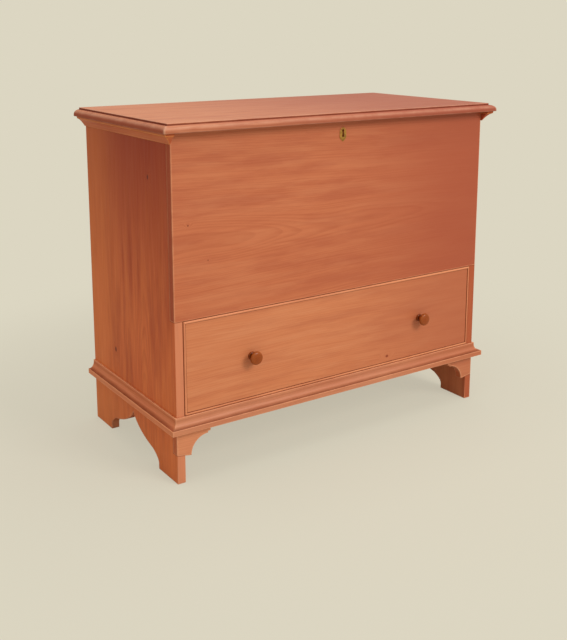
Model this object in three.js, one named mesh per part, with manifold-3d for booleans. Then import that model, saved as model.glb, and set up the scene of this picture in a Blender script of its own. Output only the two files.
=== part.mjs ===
// Mule chest: a boarded chest with a hinged lid over one long drawer.
//
// Millimetres. x runs along the front, y from the front plane of the case to its back, z up from the
// floor. Every board is laid out in that case frame, and the last lines move the whole chest so that
// the middle of its footprint, measured over the lid, stands on the origin.

import * as THREE from 'three';
import { mergeVertices } from 'three/addons/utils/BufferGeometryUtils.js';
import Module from 'manifold-3d';

const wasm = await Module();
wasm.setup();

// Case
const caseWidth = 1000;
const caseDepth = 500;
const caseHeight = 872.4;
const boardThickness = 22.5;
const backThickness = 18;
const floorThickness = 18;
const backBoardLap = 10;
const rabbetWidth = 12;
const dadoDepth = 6;

// Feet, sawn out of the lower end of each side board
const footWidth = 104;
const ankleRise = 14;
const ankleReach = 32;
const ankleHeight = 43;
const archHeight = 102;
const archBendHeight = 62;
const archBendInset = 28;

// Front foot brackets
const bracketWidth = 95;
const bracketEndWidth = 7;
const bracketEndDrop = 4.5;
const bracketOuterHeight = 75;
const bracketInnerHeight = 68;
const bracketLegWidth = 40;
const bracketCurveTop = 115.5;

// Base moulding and the rail behind it
const mouldingTop = 175;
const mouldingBottom = 137.5;
const mouldingReach = 21;
const mouldingFillet = 13.5;
const mouldingStep = 3.5;
const mouldingBead = 4.5;
const mouldingEase = 1;
const railHeight = 30;

// Drawer opening and drawer
const openingTop = 416;
const drawerSideGap = 1.5;
const drawerBottomGap = 1.2;
const drawerBackSpace = 27;
const drawerFrontThickness = 20;
const drawerBoxThickness = 12;
const drawerSideDrop = 3;
const drawerBackDrop = 4;
const drawerPanelThickness = 8;
const drawerPanelRise = 9;
const drawerGrooveDepth = 6;
const tailLength = 10;
const tailCount = 4;
const tailTipShare = 0.37;
const tailRootShare = 0.29;

// Cock bead let into the edge of the drawer front
const beadWidth = 5.5;
const beadRabbet = 6;
const beadProud = 2;
const beadNose = 1.4;
const beadQuirk = 0.8;

// Runners and stops
const runnerWidth = 25;
const runnerHeight = 20;
const stopWidth = 20;
const stopHeight = 30;

// Turned drawer knobs
const knobInset = 217;
const knobHeight = 291.5;
const knobReach = 30;
const knobHeadRadius = 17.5;
const knobHeadThickness = 13;
const knobNeckRadius = 7;
const knobCollarRadius = 11;
const knobCollarThickness = 5;
const knobFaceDish = 4;
const spigotRadius = 5;

// Lid with a thumbnail edge on its front and ends
const lidThickness = 22.5;
const lidOverhang = 31;
const lidBackOverhang = 6;
const lidTopMargin = 15;
const lidQuirk = 5;
const lidNose = 5;
const lidEase = 1.5;

// Cleats under the lid ends
const cleatClearance = 1;
const cleatWidth = 25;
const cleatHeight = 27.7;
const cleatLip = 6;
const cleatLipTaper = 1;
const cleatCoveWidth = 18;
const cleatCoveTop = 9;
const cleatToe = 3;
const cleatCoveSag = 1.5;

// Butt hinges
const hingeInset = 170;
const hingeLength = 64;
const knuckleCount = 5;
const leafWidth = 15;
const leafThickness = 2;
const knuckleRadius = 4;
const pinRadius = 2;
const hingeSetback = 1.5;
const hingeScrewMargin = 10;
const hingeNotchMargin = 1;

// Half-mortise chest lock
const lockWidth = 62;
const lockHeight = 50;
const lockDepth = 9.5;
const lockWall = 1.5;
const lockPlateWidth = 86;
const lockPlateHeight = 56;
const lockPlateThickness = 2;
const lockScrewMarginX = 6;
const lockScrewMarginZ = 10;
const guideThickness = 2;
const guideWidth = 18;

// Lid catch with two staples
const catchWidth = 64;
const catchDepth = 14;
const catchThickness = 2;
const stapleSpacing = 28;
const stapleThickness = 3;
const stapleWidth = 6;
const stapleLength = 14;
const stapleEyeTop = 4;
const stapleEyeHeight = 6.5;
const stapleEyeWidth = 3.4;
const catchScrewMargin = 6;

// Lock bolt
const boltTravel = 7;
const boltEndGap = 0.5;
const boltThickness = 2.6;
const boltClearance = 1.5;
const boltBarHeight = 7;
const boltFingerHeight = 4;
const boltPostWidth = 4;
const boltFingerGap = 1;
const talonWidth = 8;
const talonDepth = 3;

// Keyhole and its brass escutcheon
const escutcheonHeight = 38;
const escutcheonWidth = 21;
const escutcheonThickness = 1.2;
const escutcheonDrop = 35.4;
const keyholeRadius = 3.4;
const keyholeWaist = 4.5;
const keyholeSpacing = 13.5;
const keyholeRise = 3;
const escutcheonPinMargin = 4.5;

// Pins and screws
const pinHeadRadius = 1.3;
const pinHeadThickness = 0.8;
const pinShankRadius = 0.7;
const pinLength = 9;
const screwHeadRadius = 3.4;
const screwHeadDepth = 1.9;
const screwShankRadius = 1.6;
const screwTip = 3;
const screwSlotWidth = 0.9;
const screwSlotDepth = 0.9;
const hingeScrewLength = 17;
const lockScrewLength = 12;

// Clearances, and the overrun of a cutter past the wood it cuts
const jointGap = 0.3;
const slideGap = 0.3;
const overrun = 5;
const weldShare = 0.001;

// Facets of round work
const knobSides = 28;
const screwSides = 12;
const hingeSides = 20;
const curveSteps = 6;

const half = caseWidth / 2;
const inner = half - boardThickness;
const backPlane = caseDepth - backThickness;
const drawerDepth = backPlane - drawerBackSpace;
const railTop = mouldingTop;
const railBottom = railTop - railHeight;
const lidUnderside = caseHeight + slideGap;
const drawerHalf = inner - drawerSideGap;
const drawerBottom = railTop + drawerBottomGap;
const drawerTop = openingTop - drawerSideGap;
const runnerTop = drawerBottom - slideGap;
const hingeY = caseDepth + hingeSetback;
const hingeZ = caseHeight + slideGap / 2;
const escutcheonZ = caseHeight - escutcheonDrop;
const keyholeZ = escutcheonZ + keyholeRise;

const sides = [
  { name: 'left', sign: -1 },
  { name: 'right', sign: 1 },
];

// Looks

function wood(colour, roughness) {
  return new THREE.MeshStandardMaterial({ color: colour, roughness, metalness: 0 });
}

function metal(colour, roughness) {
  return new THREE.MeshStandardMaterial({ color: colour, roughness, metalness: 1 });
}

const finishes = {
  stainedPine: () => wood('#be6c46', 0.5),
  paleDrawer: () => wood('#cc7c52', 0.5),
  barePine: () => wood('#c9a06a', 0.8),
  turnedMaple: () => wood('#9a4a20', 0.35),
  brass: () => metal('#b08a48', 0.35),
  iron: () => metal('#4a4542', 0.55),
};

const chest = new THREE.Group();
chest.name = 'mule_chest';

function add(name, geometry, finish) {
  geometry.computeVertexNormals();
  const mesh = new THREE.Mesh(geometry, finishes[finish]());
  mesh.name = name;
  chest.add(mesh);
}

// Solids

function span(a, b) {
  return [Math.min(a, b), Math.max(a, b)];
}

// Merges shared corners and drops triangles that shrink to a line there.
function weld(geometry) {
  const bare = geometry.clone();
  bare.deleteAttribute('normal');
  bare.deleteAttribute('uv');
  const merged = mergeVertices(bare, jointGap * weldShare);
  const kept = [];
  const index = merged.index.array;
  for (let i = 0; i < index.length; i += 3) {
    const [a, b, c] = [index[i], index[i + 1], index[i + 2]];
    if (a !== b && b !== c && c !== a) kept.push(a, b, c);
  }
  merged.setIndex(kept);
  return merged;
}

// Turns every triangle over if the surface encloses a negative volume.
function facingOut(geometry) {
  const place = geometry.attributes.position;
  const index = geometry.index.array;
  const corner = (i) => new THREE.Vector3().fromBufferAttribute(place, index[i]);
  let volume = 0;
  for (let i = 0; i < index.length; i += 3) {
    volume += corner(i).dot(corner(i + 1).cross(corner(i + 2)));
  }
  if (volume < 0) geometry.setIndex(Array.from(index).reverse());
  return geometry;
}

function mapped(geometry, at) {
  const result = weld(geometry);
  const place = result.attributes.position;
  for (let i = 0; i < place.count; i += 1) {
    place.setXYZ(i, ...at(place.getX(i), place.getY(i), place.getZ(i)));
  }
  return facingOut(result);
}

// A straight block whose faces lie exactly on the given planes.
function block([x0, x1], [y0, y1], [z0, z1]) {
  const pick = (t, low, high) => (t < 0 ? low : high);
  return mapped(new THREE.BoxGeometry(1, 1, 1), (x, y, z) => [
    pick(x, x0, x1), pick(y, y0, y1), pick(z, z0, z1),
  ]);
}

// Carries an outline from one end to the other: at(a, b, end) places outline point (a, b) at either end.
function strip(outline, at, holes = []) {
  const shape = new THREE.Shape(outline.map(([a, b]) => new THREE.Vector2(a, b)));
  shape.holes = holes.map((hole) => new THREE.Path(hole.map(([a, b]) => new THREE.Vector2(a, b))));
  return mapped(new THREE.ExtrudeGeometry(shape, { depth: 1, bevelEnabled: false }), at);
}

// An outline in y and z carried along x, and one in x and z carried along y.
const alongX = (outline, [from, to]) => strip(outline, (a, b, end) => [end ? to : from, a, b]);
const alongY = (outline, [from, to], holes) =>
  strip(outline, (a, b, end) => [a, end ? to : from, b], holes);

// Turns a profile of [radius, distance] about an axis, at(across, along, up) placing it in the case.
function turned(profile, segments, at) {
  const points = profile.map(([radius, distance]) => new THREE.Vector2(radius, distance));
  return mapped(new THREE.LatheGeometry(points, segments), at);
}

function rod(radius, [from, to], segments, at) {
  return turned([[0, from], [radius, from], [radius, to], [0, to]], segments, at);
}

function toSolid(geometry) {
  const merged = geometry.index ? geometry : weld(geometry);
  return new wasm.Manifold(new wasm.Mesh({
    numProp: 3,
    vertProperties: Float32Array.from(merged.attributes.position.array),
    triVerts: Uint32Array.from(merged.index.array),
  }));
}

function toGeometry(body) {
  const mesh = body.getMesh();
  const geometry = new THREE.BufferGeometry();
  geometry.setAttribute('position', new THREE.BufferAttribute(mesh.vertProperties, 3));
  geometry.setIndex(Array.from(mesh.triVerts));
  return geometry;
}

const cut = (geometry, tools) =>
  toGeometry(tools.reduce((rest, tool) => rest.subtract(toSolid(tool)), toSolid(geometry)));
const join = (pieces) =>
  toGeometry(pieces.slice(1).reduce((whole, piece) => whole.add(toSolid(piece)), toSolid(pieces[0])));
const common = (a, b) => toGeometry(toSolid(a).intersect(toSolid(b)));

const points = (path) => path.getPoints(curveSteps).map((p) => [p.x, p.y]);

// Screws and pins

// A countersunk wood screw, or its hole when grown, with distance measured down from the head's face.
function screwProfile(length, grow) {
  return [
    [0, -grow],
    [screwHeadRadius + grow, -grow],
    [screwHeadRadius + grow, grow],
    [screwShankRadius + grow, screwHeadDepth + grow],
    [screwShankRadius + grow, length - screwTip + grow],
    [0, length + grow],
  ];
}

const onAxis = {
  down: (x, y, z) => (across, along, up) => [x + across, y + up, z - along],
  up: (x, y, z) => (across, along, up) => [x + across, y + up, z + along],
  forward: (x, y, z) => (across, along, up) => [x + across, y - along, z + up],
  back: (x, y, z) => (across, along, up) => [x + across, y + along, z + up],
};

function screw(length, direction, [x, y, z]) {
  const place = onAxis[direction](x, y, z);
  const reach = screwHeadRadius + overrun;
  const slot = mapped(new THREE.BoxGeometry(1, 1, 1), (a, b, c) => place(
    Math.sign(a) * reach, b < 0 ? -overrun : screwSlotDepth, Math.sign(c) * screwSlotWidth / 2));
  return cut(turned(screwProfile(length, 0), screwSides, place), [slot]);
}

const screwHole = (length, direction, [x, y, z]) =>
  turned(screwProfile(length, jointGap), screwSides, onAxis[direction](x, y, z));

// Side boards

// Half of the opening between the feet, from the front foot's inner corner up to the pointed crown.
function halfArch() {
  const ankle = footWidth + ankleReach;
  const path = new THREE.Path();
  path.moveTo(footWidth, 0);
  path.lineTo(footWidth, ankleRise);
  path.quadraticCurveTo(footWidth, (ankleRise + ankleHeight) / 2, ankle, ankleHeight);
  const crown = caseDepth / 2;
  path.quadraticCurveTo(crown - archBendInset, archBendHeight, crown, archHeight);
  return points(path);
}

function sideOutline() {
  const front = halfArch();
  const rear = front.slice(0, -1).reverse().map(([y, z]) => [caseDepth - y, z]);
  return [[0, 0], ...front, ...rear, [caseDepth, 0], [caseDepth, caseHeight], [0, caseHeight]];
}

const bracketSlope = (bracketOuterHeight - bracketInnerHeight) / bracketLegWidth;

// The notch in a side board's front edge that holds the ends of the bracket and the rail.
function railNotch(sign) {
  const low = (inset) => bracketOuterHeight - inset * bracketSlope - jointGap;
  const near = -overrun;
  const far = boardThickness + overrun;
  const outline = [[near, low(near)], [far, low(far)], [far, railTop], [near, railTop]];
  return alongY(outline.map(([inset, z]) => [sign * (half - inset), z]),
    [-overrun, boardThickness + jointGap]);
}

function backRabbet(sign) {
  return block(span(sign * (inner - overrun), sign * (inner + rabbetWidth)),
    [backPlane - jointGap, caseDepth + overrun],
    [mouldingBottom - jointGap, caseHeight + overrun]);
}

function floorDado(sign) {
  return block(span(sign * (inner - overrun), sign * (inner + dadoDepth)),
    [boardThickness, backPlane],
    [openingTop - jointGap, openingTop + floorThickness + jointGap]);
}

function sideBoard(sign) {
  const board = alongX(sideOutline(), span(sign * inner, sign * half));
  const frontNotch = block(span(sign * (inner - overrun), sign * (half + overrun)),
    [-overrun, boardThickness + jointGap],
    [openingTop - jointGap, caseHeight + overrun]);
  return cut(board, [frontNotch, railNotch(sign), backRabbet(sign), floorDado(sign)]);
}

for (const { name, sign } of sides) add(`side_board_${name}`, sideBoard(sign), 'stainedPine');

// Keyhole, cut through the escutcheon, the front panel and the lock

function keyhole(grow) {
  const radius = keyholeRadius + grow;
  const waist = Math.asin((keyholeWaist / 2 + grow) / radius);
  const path = new THREE.Path();
  const top = keyholeZ + keyholeSpacing / 2;
  const low = keyholeZ - keyholeSpacing / 2;
  path.absarc(0, top, radius, -Math.PI / 2 + waist, 1.5 * Math.PI - waist, false);
  path.absarc(0, low, radius, Math.PI / 2 + waist, 2.5 * Math.PI - waist, false);
  return points(path);
}

// Front panel

const lockCentreY = boardThickness - lockPlateThickness - lockDepth / 2;
const lockScrews = [];
for (const sign of [-1, 1]) {
  for (const drop of [lockScrewMarginZ, lockPlateHeight - lockScrewMarginZ]) {
    lockScrews.push([sign * (lockPlateWidth / 2 - lockScrewMarginX), boardThickness, caseHeight - drop]);
  }
}

const escutcheonPins = [
  { name: 'top', z: escutcheonZ + escutcheonHeight / 2 - escutcheonPinMargin },
  { name: 'bottom', z: escutcheonZ - escutcheonHeight / 2 + escutcheonPinMargin },
];

const pinHole = (z) => rod(pinShankRadius + jointGap, [-overrun, pinLength + jointGap], screwSides,
  onAxis.back(0, 0, z));

function lockMortise() {
  const body = block([-lockWidth / 2 - jointGap, lockWidth / 2 + jointGap],
    [boardThickness - lockPlateThickness - lockDepth - jointGap, boardThickness + overrun],
    [caseHeight - lockHeight - jointGap, caseHeight + overrun]);
  const plate = block([-lockPlateWidth / 2 - jointGap, lockPlateWidth / 2 + jointGap],
    [boardThickness - lockPlateThickness - jointGap, boardThickness + overrun],
    [caseHeight - lockPlateHeight - jointGap, caseHeight + overrun]);
  return [body, plate];
}

function frontPanel() {
  const board = block([-half, half], [0, boardThickness], [openingTop, caseHeight]);
  const keyway = alongY(keyhole(0), [-overrun, boardThickness]);
  const screwHoles = lockScrews.map((place) => screwHole(lockScrewLength, 'forward', place));
  const pinHoles = escutcheonPins.map(({ z }) => pinHole(z));
  return cut(board, [...lockMortise(), keyway, ...screwHoles, ...pinHoles]);
}

add('front_panel', frontPanel(), 'stainedPine');

// Back boards, lapped where they meet and let into the side boards

const backHalf = inner + rabbetWidth - jointGap;
const backJoint = (caseHeight + mouldingBottom) / 2;
const lapPlane = backPlane + backThickness / 2;

const hingeCentres = [
  { name: 'left', x: -half + hingeInset },
  { name: 'right', x: half - hingeInset },
];

const leafInner = hingeY - leafWidth;
const hingeScrewY = (leafInner + hingeY - knuckleRadius) / 2;
const hingeScrewPlaces = (x, z) =>
  [-1, 1].map((sign) => [x + sign * (hingeLength / 2 - hingeScrewMargin), hingeScrewY, z]);

// Bed for a leaf and room for the knuckles, on the low or the high side of the hinge.
function hingeBed(x, sign, face) {
  const reach = hingeLength / 2 + jointGap;
  const leafFloor = face + sign * (leafThickness + jointGap);
  const leaf = block([x - reach, x + reach], [leafInner - jointGap, caseDepth + overrun + lidBackOverhang],
    span(face - sign * overrun, leafFloor));
  const room = knuckleRadius + hingeNotchMargin;
  const barrel = block([x - reach, x + reach], [hingeY - room, caseDepth + overrun + lidBackOverhang],
    span(face - sign * overrun, hingeZ + sign * room));
  return [leaf, barrel];
}

function upperBackBoard() {
  const edge = backJoint + jointGap;
  const lip = lapPlane - jointGap;
  const outline = [
    [backPlane, edge], [lip, edge], [lip, edge - backBoardLap], [caseDepth, edge - backBoardLap],
    [caseDepth, caseHeight], [backPlane, caseHeight],
  ];
  const beds = hingeCentres.flatMap(({ x }) => hingeBed(x, -1, caseHeight));
  const holes = hingeCentres.flatMap(({ x }) =>
    hingeScrewPlaces(x, caseHeight).map((place) => screwHole(hingeScrewLength, 'down', place)));
  return cut(alongX(outline, [-backHalf, backHalf]), [...beds, ...holes]);
}

function lowerBackBoard() {
  const lip = lapPlane - 2 * jointGap;
  const outline = [
    [backPlane, mouldingBottom], [caseDepth, mouldingBottom], [caseDepth, backJoint - backBoardLap],
    [lip, backJoint - backBoardLap], [lip, backJoint], [backPlane, backJoint],
  ];
  return alongX(outline, [-backHalf, backHalf]);
}

add('back_board_upper', upperBackBoard(), 'barePine');
add('back_board_lower', lowerBackBoard(), 'barePine');

// Chest floor, which is also the ceiling of the drawer space

const floorHalf = inner + dadoDepth - jointGap;
add('chest_floor', block([-floorHalf, floorHalf], [boardThickness, backPlane],
  [openingTop, openingTop + floorThickness]), 'barePine');

// Rail under the drawer, and the brackets under the rail

add('front_rail', block([-half, half], [0, boardThickness], [railBottom, railTop - jointGap]), 'stainedPine');

function bracket(sign) {
  const curveEnd = bracketWidth - bracketEndWidth;
  const curve = new THREE.Path();
  curve.absellipse(curveEnd, bracketInnerHeight, curveEnd - bracketLegWidth,
    bracketCurveTop - bracketInnerHeight, Math.PI, Math.PI / 2, true, 0);
  const outline = [
    [0, railBottom], [0, bracketOuterHeight],
    ...points(curve),
    [curveEnd, bracketCurveTop + bracketEndDrop],
    [bracketWidth, bracketCurveTop + bracketEndDrop],
    [bracketWidth, railBottom],
  ];
  return alongY(outline.map(([inset, z]) => [sign * (half - inset), z]), [0, boardThickness]);
}

for (const { name, sign } of sides) add(`front_bracket_${name}`, bracket(sign), 'stainedPine');

// Base moulding: a bead, a cove and a square fillet, mitred at the front corners

function mouldingProfile() {
  const filletTop = mouldingBottom + mouldingFillet;
  const coveFoot = mouldingReach - mouldingStep;
  const coveTop = mouldingTop - mouldingBead;
  const path = new THREE.Path();
  path.moveTo(0, mouldingBottom);
  path.lineTo(mouldingReach, mouldingBottom);
  path.lineTo(mouldingReach, filletTop - mouldingEase);
  path.lineTo(mouldingReach - mouldingEase, filletTop);
  path.lineTo(coveFoot, filletTop);
  path.absellipse(coveFoot, coveTop, coveFoot - mouldingBead, coveTop - filletTop,
    -Math.PI / 2, -Math.PI, true, 0);
  path.lineTo(mouldingBead, mouldingTop - mouldingEase);
  path.lineTo(mouldingBead - mouldingEase, mouldingTop);
  path.lineTo(0, mouldingTop);
  return points(path);
}

add('base_moulding_front', strip(mouldingProfile(), (u, z, end) =>
  [(end ? 1 : -1) * (half + u), -u, z]), 'stainedPine');

for (const { name, sign } of sides) {
  add(`base_moulding_${name}`, strip(mouldingProfile(), (u, z, end) =>
    [sign * (half + u), end ? caseDepth : jointGap - u, z]), 'stainedPine');
}

// Runners that carry the drawer, and stops that meet its back

for (const { name, sign } of sides) {
  add(`drawer_runner_${name}`, block(span(sign * (inner - runnerWidth), sign * inner),
    [boardThickness, backPlane - jointGap], [runnerTop - runnerHeight, runnerTop]), 'barePine');
  add(`drawer_stop_${name}`, block(span(sign * (inner - stopWidth), sign * inner),
    [drawerDepth + slideGap, backPlane - jointGap], [runnerTop, runnerTop + stopHeight]), 'barePine');
}

// Drawer

const sideInner = drawerHalf - drawerBoxThickness;
const sideTop = drawerTop - drawerSideDrop;
const panelBottom = drawerBottom + drawerPanelRise;
const panelTop = panelBottom + drawerPanelThickness;
const backBottom = panelTop + jointGap;
const backTop = sideTop - drawerBackDrop;
const backFace = drawerDepth - drawerBoxThickness;

function tailCentres([low, high]) {
  const pitch = (high - low) / tailCount;
  return Array.from({ length: tailCount }, (_, i) => ({ z: low + (i + 0.5) * pitch, pitch }));
}

// One dovetail in y and z, wide at its tip, with grow added all round for its socket.
function tailOutline({ z, pitch }, tip, root, grow) {
  const outward = Math.sign(tip - root);
  const tipHalf = pitch * tailTipShare + grow;
  const rootHalf = pitch * tailRootShare + grow;
  return [
    [root, z - rootHalf], [tip + outward * grow, z - tipHalf],
    [tip + outward * grow, z + tipHalf], [root, z + rootHalf],
  ];
}

const frontTails = tailCentres([drawerBottom, sideTop]);
const backTails = tailCentres([backBottom, backTop]);
const frontTailTip = drawerFrontThickness - tailLength;

const tailSocket = (tail, tip, root, sign) => alongX(tailOutline(tail, tip, root, jointGap),
  span(sign * (sideInner - jointGap), sign * (drawerHalf + overrun)));

const grooveBox = (xRange, yRange) =>
  block(xRange, yRange, [panelBottom - jointGap, panelTop + jointGap]);

const knobPlaces = [
  { name: 'left', x: -half + knobInset },
  { name: 'right', x: half - knobInset },
];

function drawerFront() {
  const body = block([-drawerHalf, drawerHalf], [beadRabbet, drawerFrontThickness],
    [drawerBottom, drawerTop]);
  const margin = beadWidth + beadQuirk;
  const face = block([-drawerHalf + margin, drawerHalf - margin], [0, beadRabbet],
    [drawerBottom + margin, drawerTop - margin]);
  const groove = grooveBox([-sideInner - drawerGrooveDepth, sideInner + drawerGrooveDepth],
    [drawerFrontThickness - drawerGrooveDepth, drawerFrontThickness + overrun]);
  const sockets = sides.flatMap(({ sign }) => [
    ...frontTails.map((tail) => tailSocket(tail, frontTailTip, drawerFrontThickness, sign)),
    block(span(sign * (sideInner - jointGap), sign * (drawerHalf + overrun)),
      [drawerFrontThickness - jointGap, drawerFrontThickness + overrun],
      [drawerBottom - overrun, drawerTop + overrun]),
  ]);
  const bores = knobPlaces.map(({ x }) => rod(spigotRadius + jointGap,
    [-overrun, drawerFrontThickness + overrun], knobSides, onAxis.back(x, 0, knobHeight)));
  return cut(join([body, face]), [groove, ...sockets, ...bores]);
}

function drawerSide(sign) {
  const front = frontTails.flatMap((tail) => tailOutline(tail, frontTailTip, drawerFrontThickness, 0));
  const back = backTails.flatMap((tail) => tailOutline(tail, drawerDepth, backFace, 0)).reverse();
  const outline = [
    [drawerFrontThickness, drawerBottom], ...front, [drawerFrontThickness, sideTop],
    [drawerDepth, sideTop], [drawerDepth, backTop + jointGap], [backFace, backTop + jointGap],
    ...back,
    [backFace, backBottom - jointGap], [drawerDepth, backBottom - jointGap], [drawerDepth, drawerBottom],
  ];
  const board = alongX(outline, span(sign * sideInner, sign * drawerHalf));
  const groove = grooveBox(span(sign * (sideInner - overrun), sign * (sideInner + drawerGrooveDepth)),
    [frontTailTip - overrun, drawerDepth + overrun]);
  return cut(board, [groove]);
}

function drawerBack() {
  const board = block([-drawerHalf, drawerHalf], [backFace + jointGap, drawerDepth], [backBottom, backTop]);
  const sockets = sides.flatMap(({ sign }) =>
    backTails.map((tail) => tailSocket(tail, drawerDepth, backFace, sign)));
  return cut(board, sockets);
}

add('drawer_front', drawerFront(), 'paleDrawer');
for (const { name, sign } of sides) add(`drawer_side_${name}`, drawerSide(sign), 'barePine');
add('drawer_back', drawerBack(), 'barePine');

const panelHalf = sideInner + drawerGrooveDepth - jointGap;
add('drawer_bottom', block([-panelHalf, panelHalf],
  [drawerFrontThickness - drawerGrooveDepth + jointGap, drawerDepth], [panelBottom, panelTop]), 'barePine');

// Cock beads with a rounded nose, mitred at the four corners of the drawer front

function beadProfile() {
  const noseFoot = beadNose - beadProud;
  const path = new THREE.Path();
  path.moveTo(0, beadRabbet);
  path.lineTo(0, noseFoot);
  path.absellipse(beadWidth / 2, noseFoot, beadWidth / 2, beadNose, Math.PI, 2 * Math.PI, false, 0);
  path.lineTo(beadWidth, beadRabbet);
  return points(path);
}

const levelBead = (edge, inward) => strip(beadProfile(), (w, y, end) =>
  [(end ? 1 : -1) * (drawerHalf - w), y, edge + inward * w]);
const uprightBead = (sign) => strip(beadProfile(), (w, y, end) =>
  [sign * (drawerHalf - w), y, end ? drawerTop - w - jointGap : drawerBottom + w + jointGap]);

add('drawer_bead_top', levelBead(drawerTop, -1), 'paleDrawer');
add('drawer_bead_bottom', levelBead(drawerBottom, 1), 'paleDrawer');
for (const { name, sign } of sides) add(`drawer_bead_${name}`, uprightBead(sign), 'paleDrawer');

// Knobs, turned in one piece with the spigot that passes through the drawer front

function knobProfile() {
  const headBack = knobReach - knobHeadThickness;
  const headMiddle = knobReach - knobHeadThickness / 2;
  const path = new THREE.Path();
  path.moveTo(0, -drawerFrontThickness);
  path.lineTo(spigotRadius, -drawerFrontThickness);
  path.lineTo(spigotRadius, 0);
  path.lineTo(knobCollarRadius, 0);
  path.quadraticCurveTo(knobCollarRadius, knobCollarThickness, knobNeckRadius, knobCollarThickness);
  path.quadraticCurveTo(knobNeckRadius, headBack, knobHeadRadius, headMiddle - knobFaceDish / 2);
  path.quadraticCurveTo(knobHeadRadius, knobReach - knobFaceDish / 2, knobHeadRadius - knobFaceDish,
    knobReach - knobFaceDish / 2);
  path.quadraticCurveTo(knobNeckRadius, knobReach, 0, knobReach);
  return points(path);
}

for (const { name, x } of knobPlaces) {
  const knob = turned(knobProfile(), knobSides, onAxis.forward(x, 0, knobHeight));
  add(`drawer_knob_${name}`, knob, 'turnedMaple');
}

// Lid

function lidEdge() {
  const path = new THREE.Path();
  path.moveTo(lidOverhang - lidEase, 0);
  path.lineTo(lidOverhang, lidEase);
  path.lineTo(lidOverhang, lidNose);
  path.absellipse(lidTopMargin, lidNose, lidOverhang - lidTopMargin, lidThickness - lidQuirk - lidNose,
    0, Math.PI / 2, false, 0);
  path.lineTo(lidTopMargin, lidThickness);
  return points(path);
}

const catchY = lockCentreY;
const catchScrews = [-1, 1].map((sign) => [sign * (catchWidth / 2 - catchScrewMargin), catchY, lidUnderside]);

function lidBoard() {
  const edge = lidEdge();
  const right = edge.map(([u, h]) => [half + u, lidUnderside + h]);
  const left = edge.map(([u, h]) => [-half - u, lidUnderside + h]).reverse();
  const front = edge.map(([u, h]) => [-u, lidUnderside + h]);
  const rear = caseDepth + lidBackOverhang;
  const reach = lidOverhang + overrun;
  const ends = alongY([...right, ...left], [-reach, rear]);
  const length = alongX([...front, [rear, lidUnderside + lidThickness], [rear, lidUnderside]],
    [-half - reach, half + reach]);
  const beds = hingeCentres.flatMap(({ x }) => hingeBed(x, 1, lidUnderside));
  const hingeHoles = hingeCentres.flatMap(({ x }) =>
    hingeScrewPlaces(x, lidUnderside).map((place) => screwHole(hingeScrewLength, 'up', place)));
  const catchBed = block([-catchWidth / 2 - jointGap, catchWidth / 2 + jointGap],
    [catchY - catchDepth / 2 - jointGap, catchY + catchDepth / 2 + jointGap],
    [lidUnderside - overrun, lidUnderside + catchThickness + jointGap]);
  const catchHoles = catchScrews.map((place) => screwHole(lockScrewLength, 'up', place));
  return cut(common(ends, length), [...beds, ...hingeHoles, catchBed, ...catchHoles]);
}

add('lid_board', lidBoard(), 'stainedPine');

// Cleats: a lip over a cove, returned across the front end

function cleatProfile() {
  const path = new THREE.Path();
  path.moveTo(cleatWidth, 0);
  path.lineTo(cleatWidth - cleatLipTaper, -cleatLip);
  path.lineTo(cleatCoveWidth, -cleatCoveTop);
  path.quadraticCurveTo((cleatCoveWidth + cleatToe) / 2 - cleatCoveSag,
    -(cleatCoveTop + cleatHeight) / 2 + cleatCoveSag, cleatToe, -cleatHeight);
  return points(path);
}

function cleat(sign) {
  const profile = cleatProfile();
  const across = [[cleatClearance, 0], ...profile, [cleatClearance, -cleatHeight]];
  const along = [...profile.map(([u, h]) => [-u, lidUnderside + h]),
    [caseDepth, lidUnderside - cleatHeight], [caseDepth, lidUnderside]];
  const length = alongY(across.map(([u, h]) => [sign * (half + u), lidUnderside + h]),
    [-cleatWidth - overrun, caseDepth]);
  const returned = alongX(along, span(sign * half, sign * (half + cleatWidth + overrun)));
  return common(length, returned);
}

for (const { name, sign } of sides) add(`lid_cleat_${name}`, cleat(sign), 'stainedPine');

// Hinges: three knuckles on the case leaf, two on the lid leaf

const knucklePitch = hingeLength / knuckleCount;

// Knuckles that belong to one leaf: the even ones to the case, the odd ones to the lid.
function knuckleSpans(x, odd) {
  const spans = [];
  for (let i = odd ? 1 : 0; i < knuckleCount; i += 2) {
    const from = x - hingeLength / 2 + i * knucklePitch;
    const last = i === knuckleCount - 1;
    spans.push([from + (i ? jointGap / 2 : 0), from + knucklePitch - (last ? 0 : jointGap / 2)]);
  }
  return spans;
}

const aboutPin = (across, along, up) => [along, hingeY + across, hingeZ + up];

function hingeLeaf(x, sign, face) {
  const plate = block([x - hingeLength / 2, x + hingeLength / 2],
    [leafInner, hingeY - knuckleRadius - 2 * jointGap], span(face, face + sign * leafThickness));
  const tabs = knuckleSpans(x, sign > 0).flatMap((range) => [
    block(range, [hingeY - knuckleRadius - 3 * jointGap, hingeY], span(face, face + sign * leafThickness)),
    rod(knuckleRadius, range, hingeSides, aboutPin),
  ]);
  const bore = rod(pinRadius + jointGap, [x - hingeLength, x + hingeLength], hingeSides, aboutPin);
  const holes = hingeScrewPlaces(x, face).map((place) =>
    screwHole(hingeScrewLength, sign > 0 ? 'up' : 'down', place));
  return cut(join([plate, ...tabs]), [bore, ...holes]);
}

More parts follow.
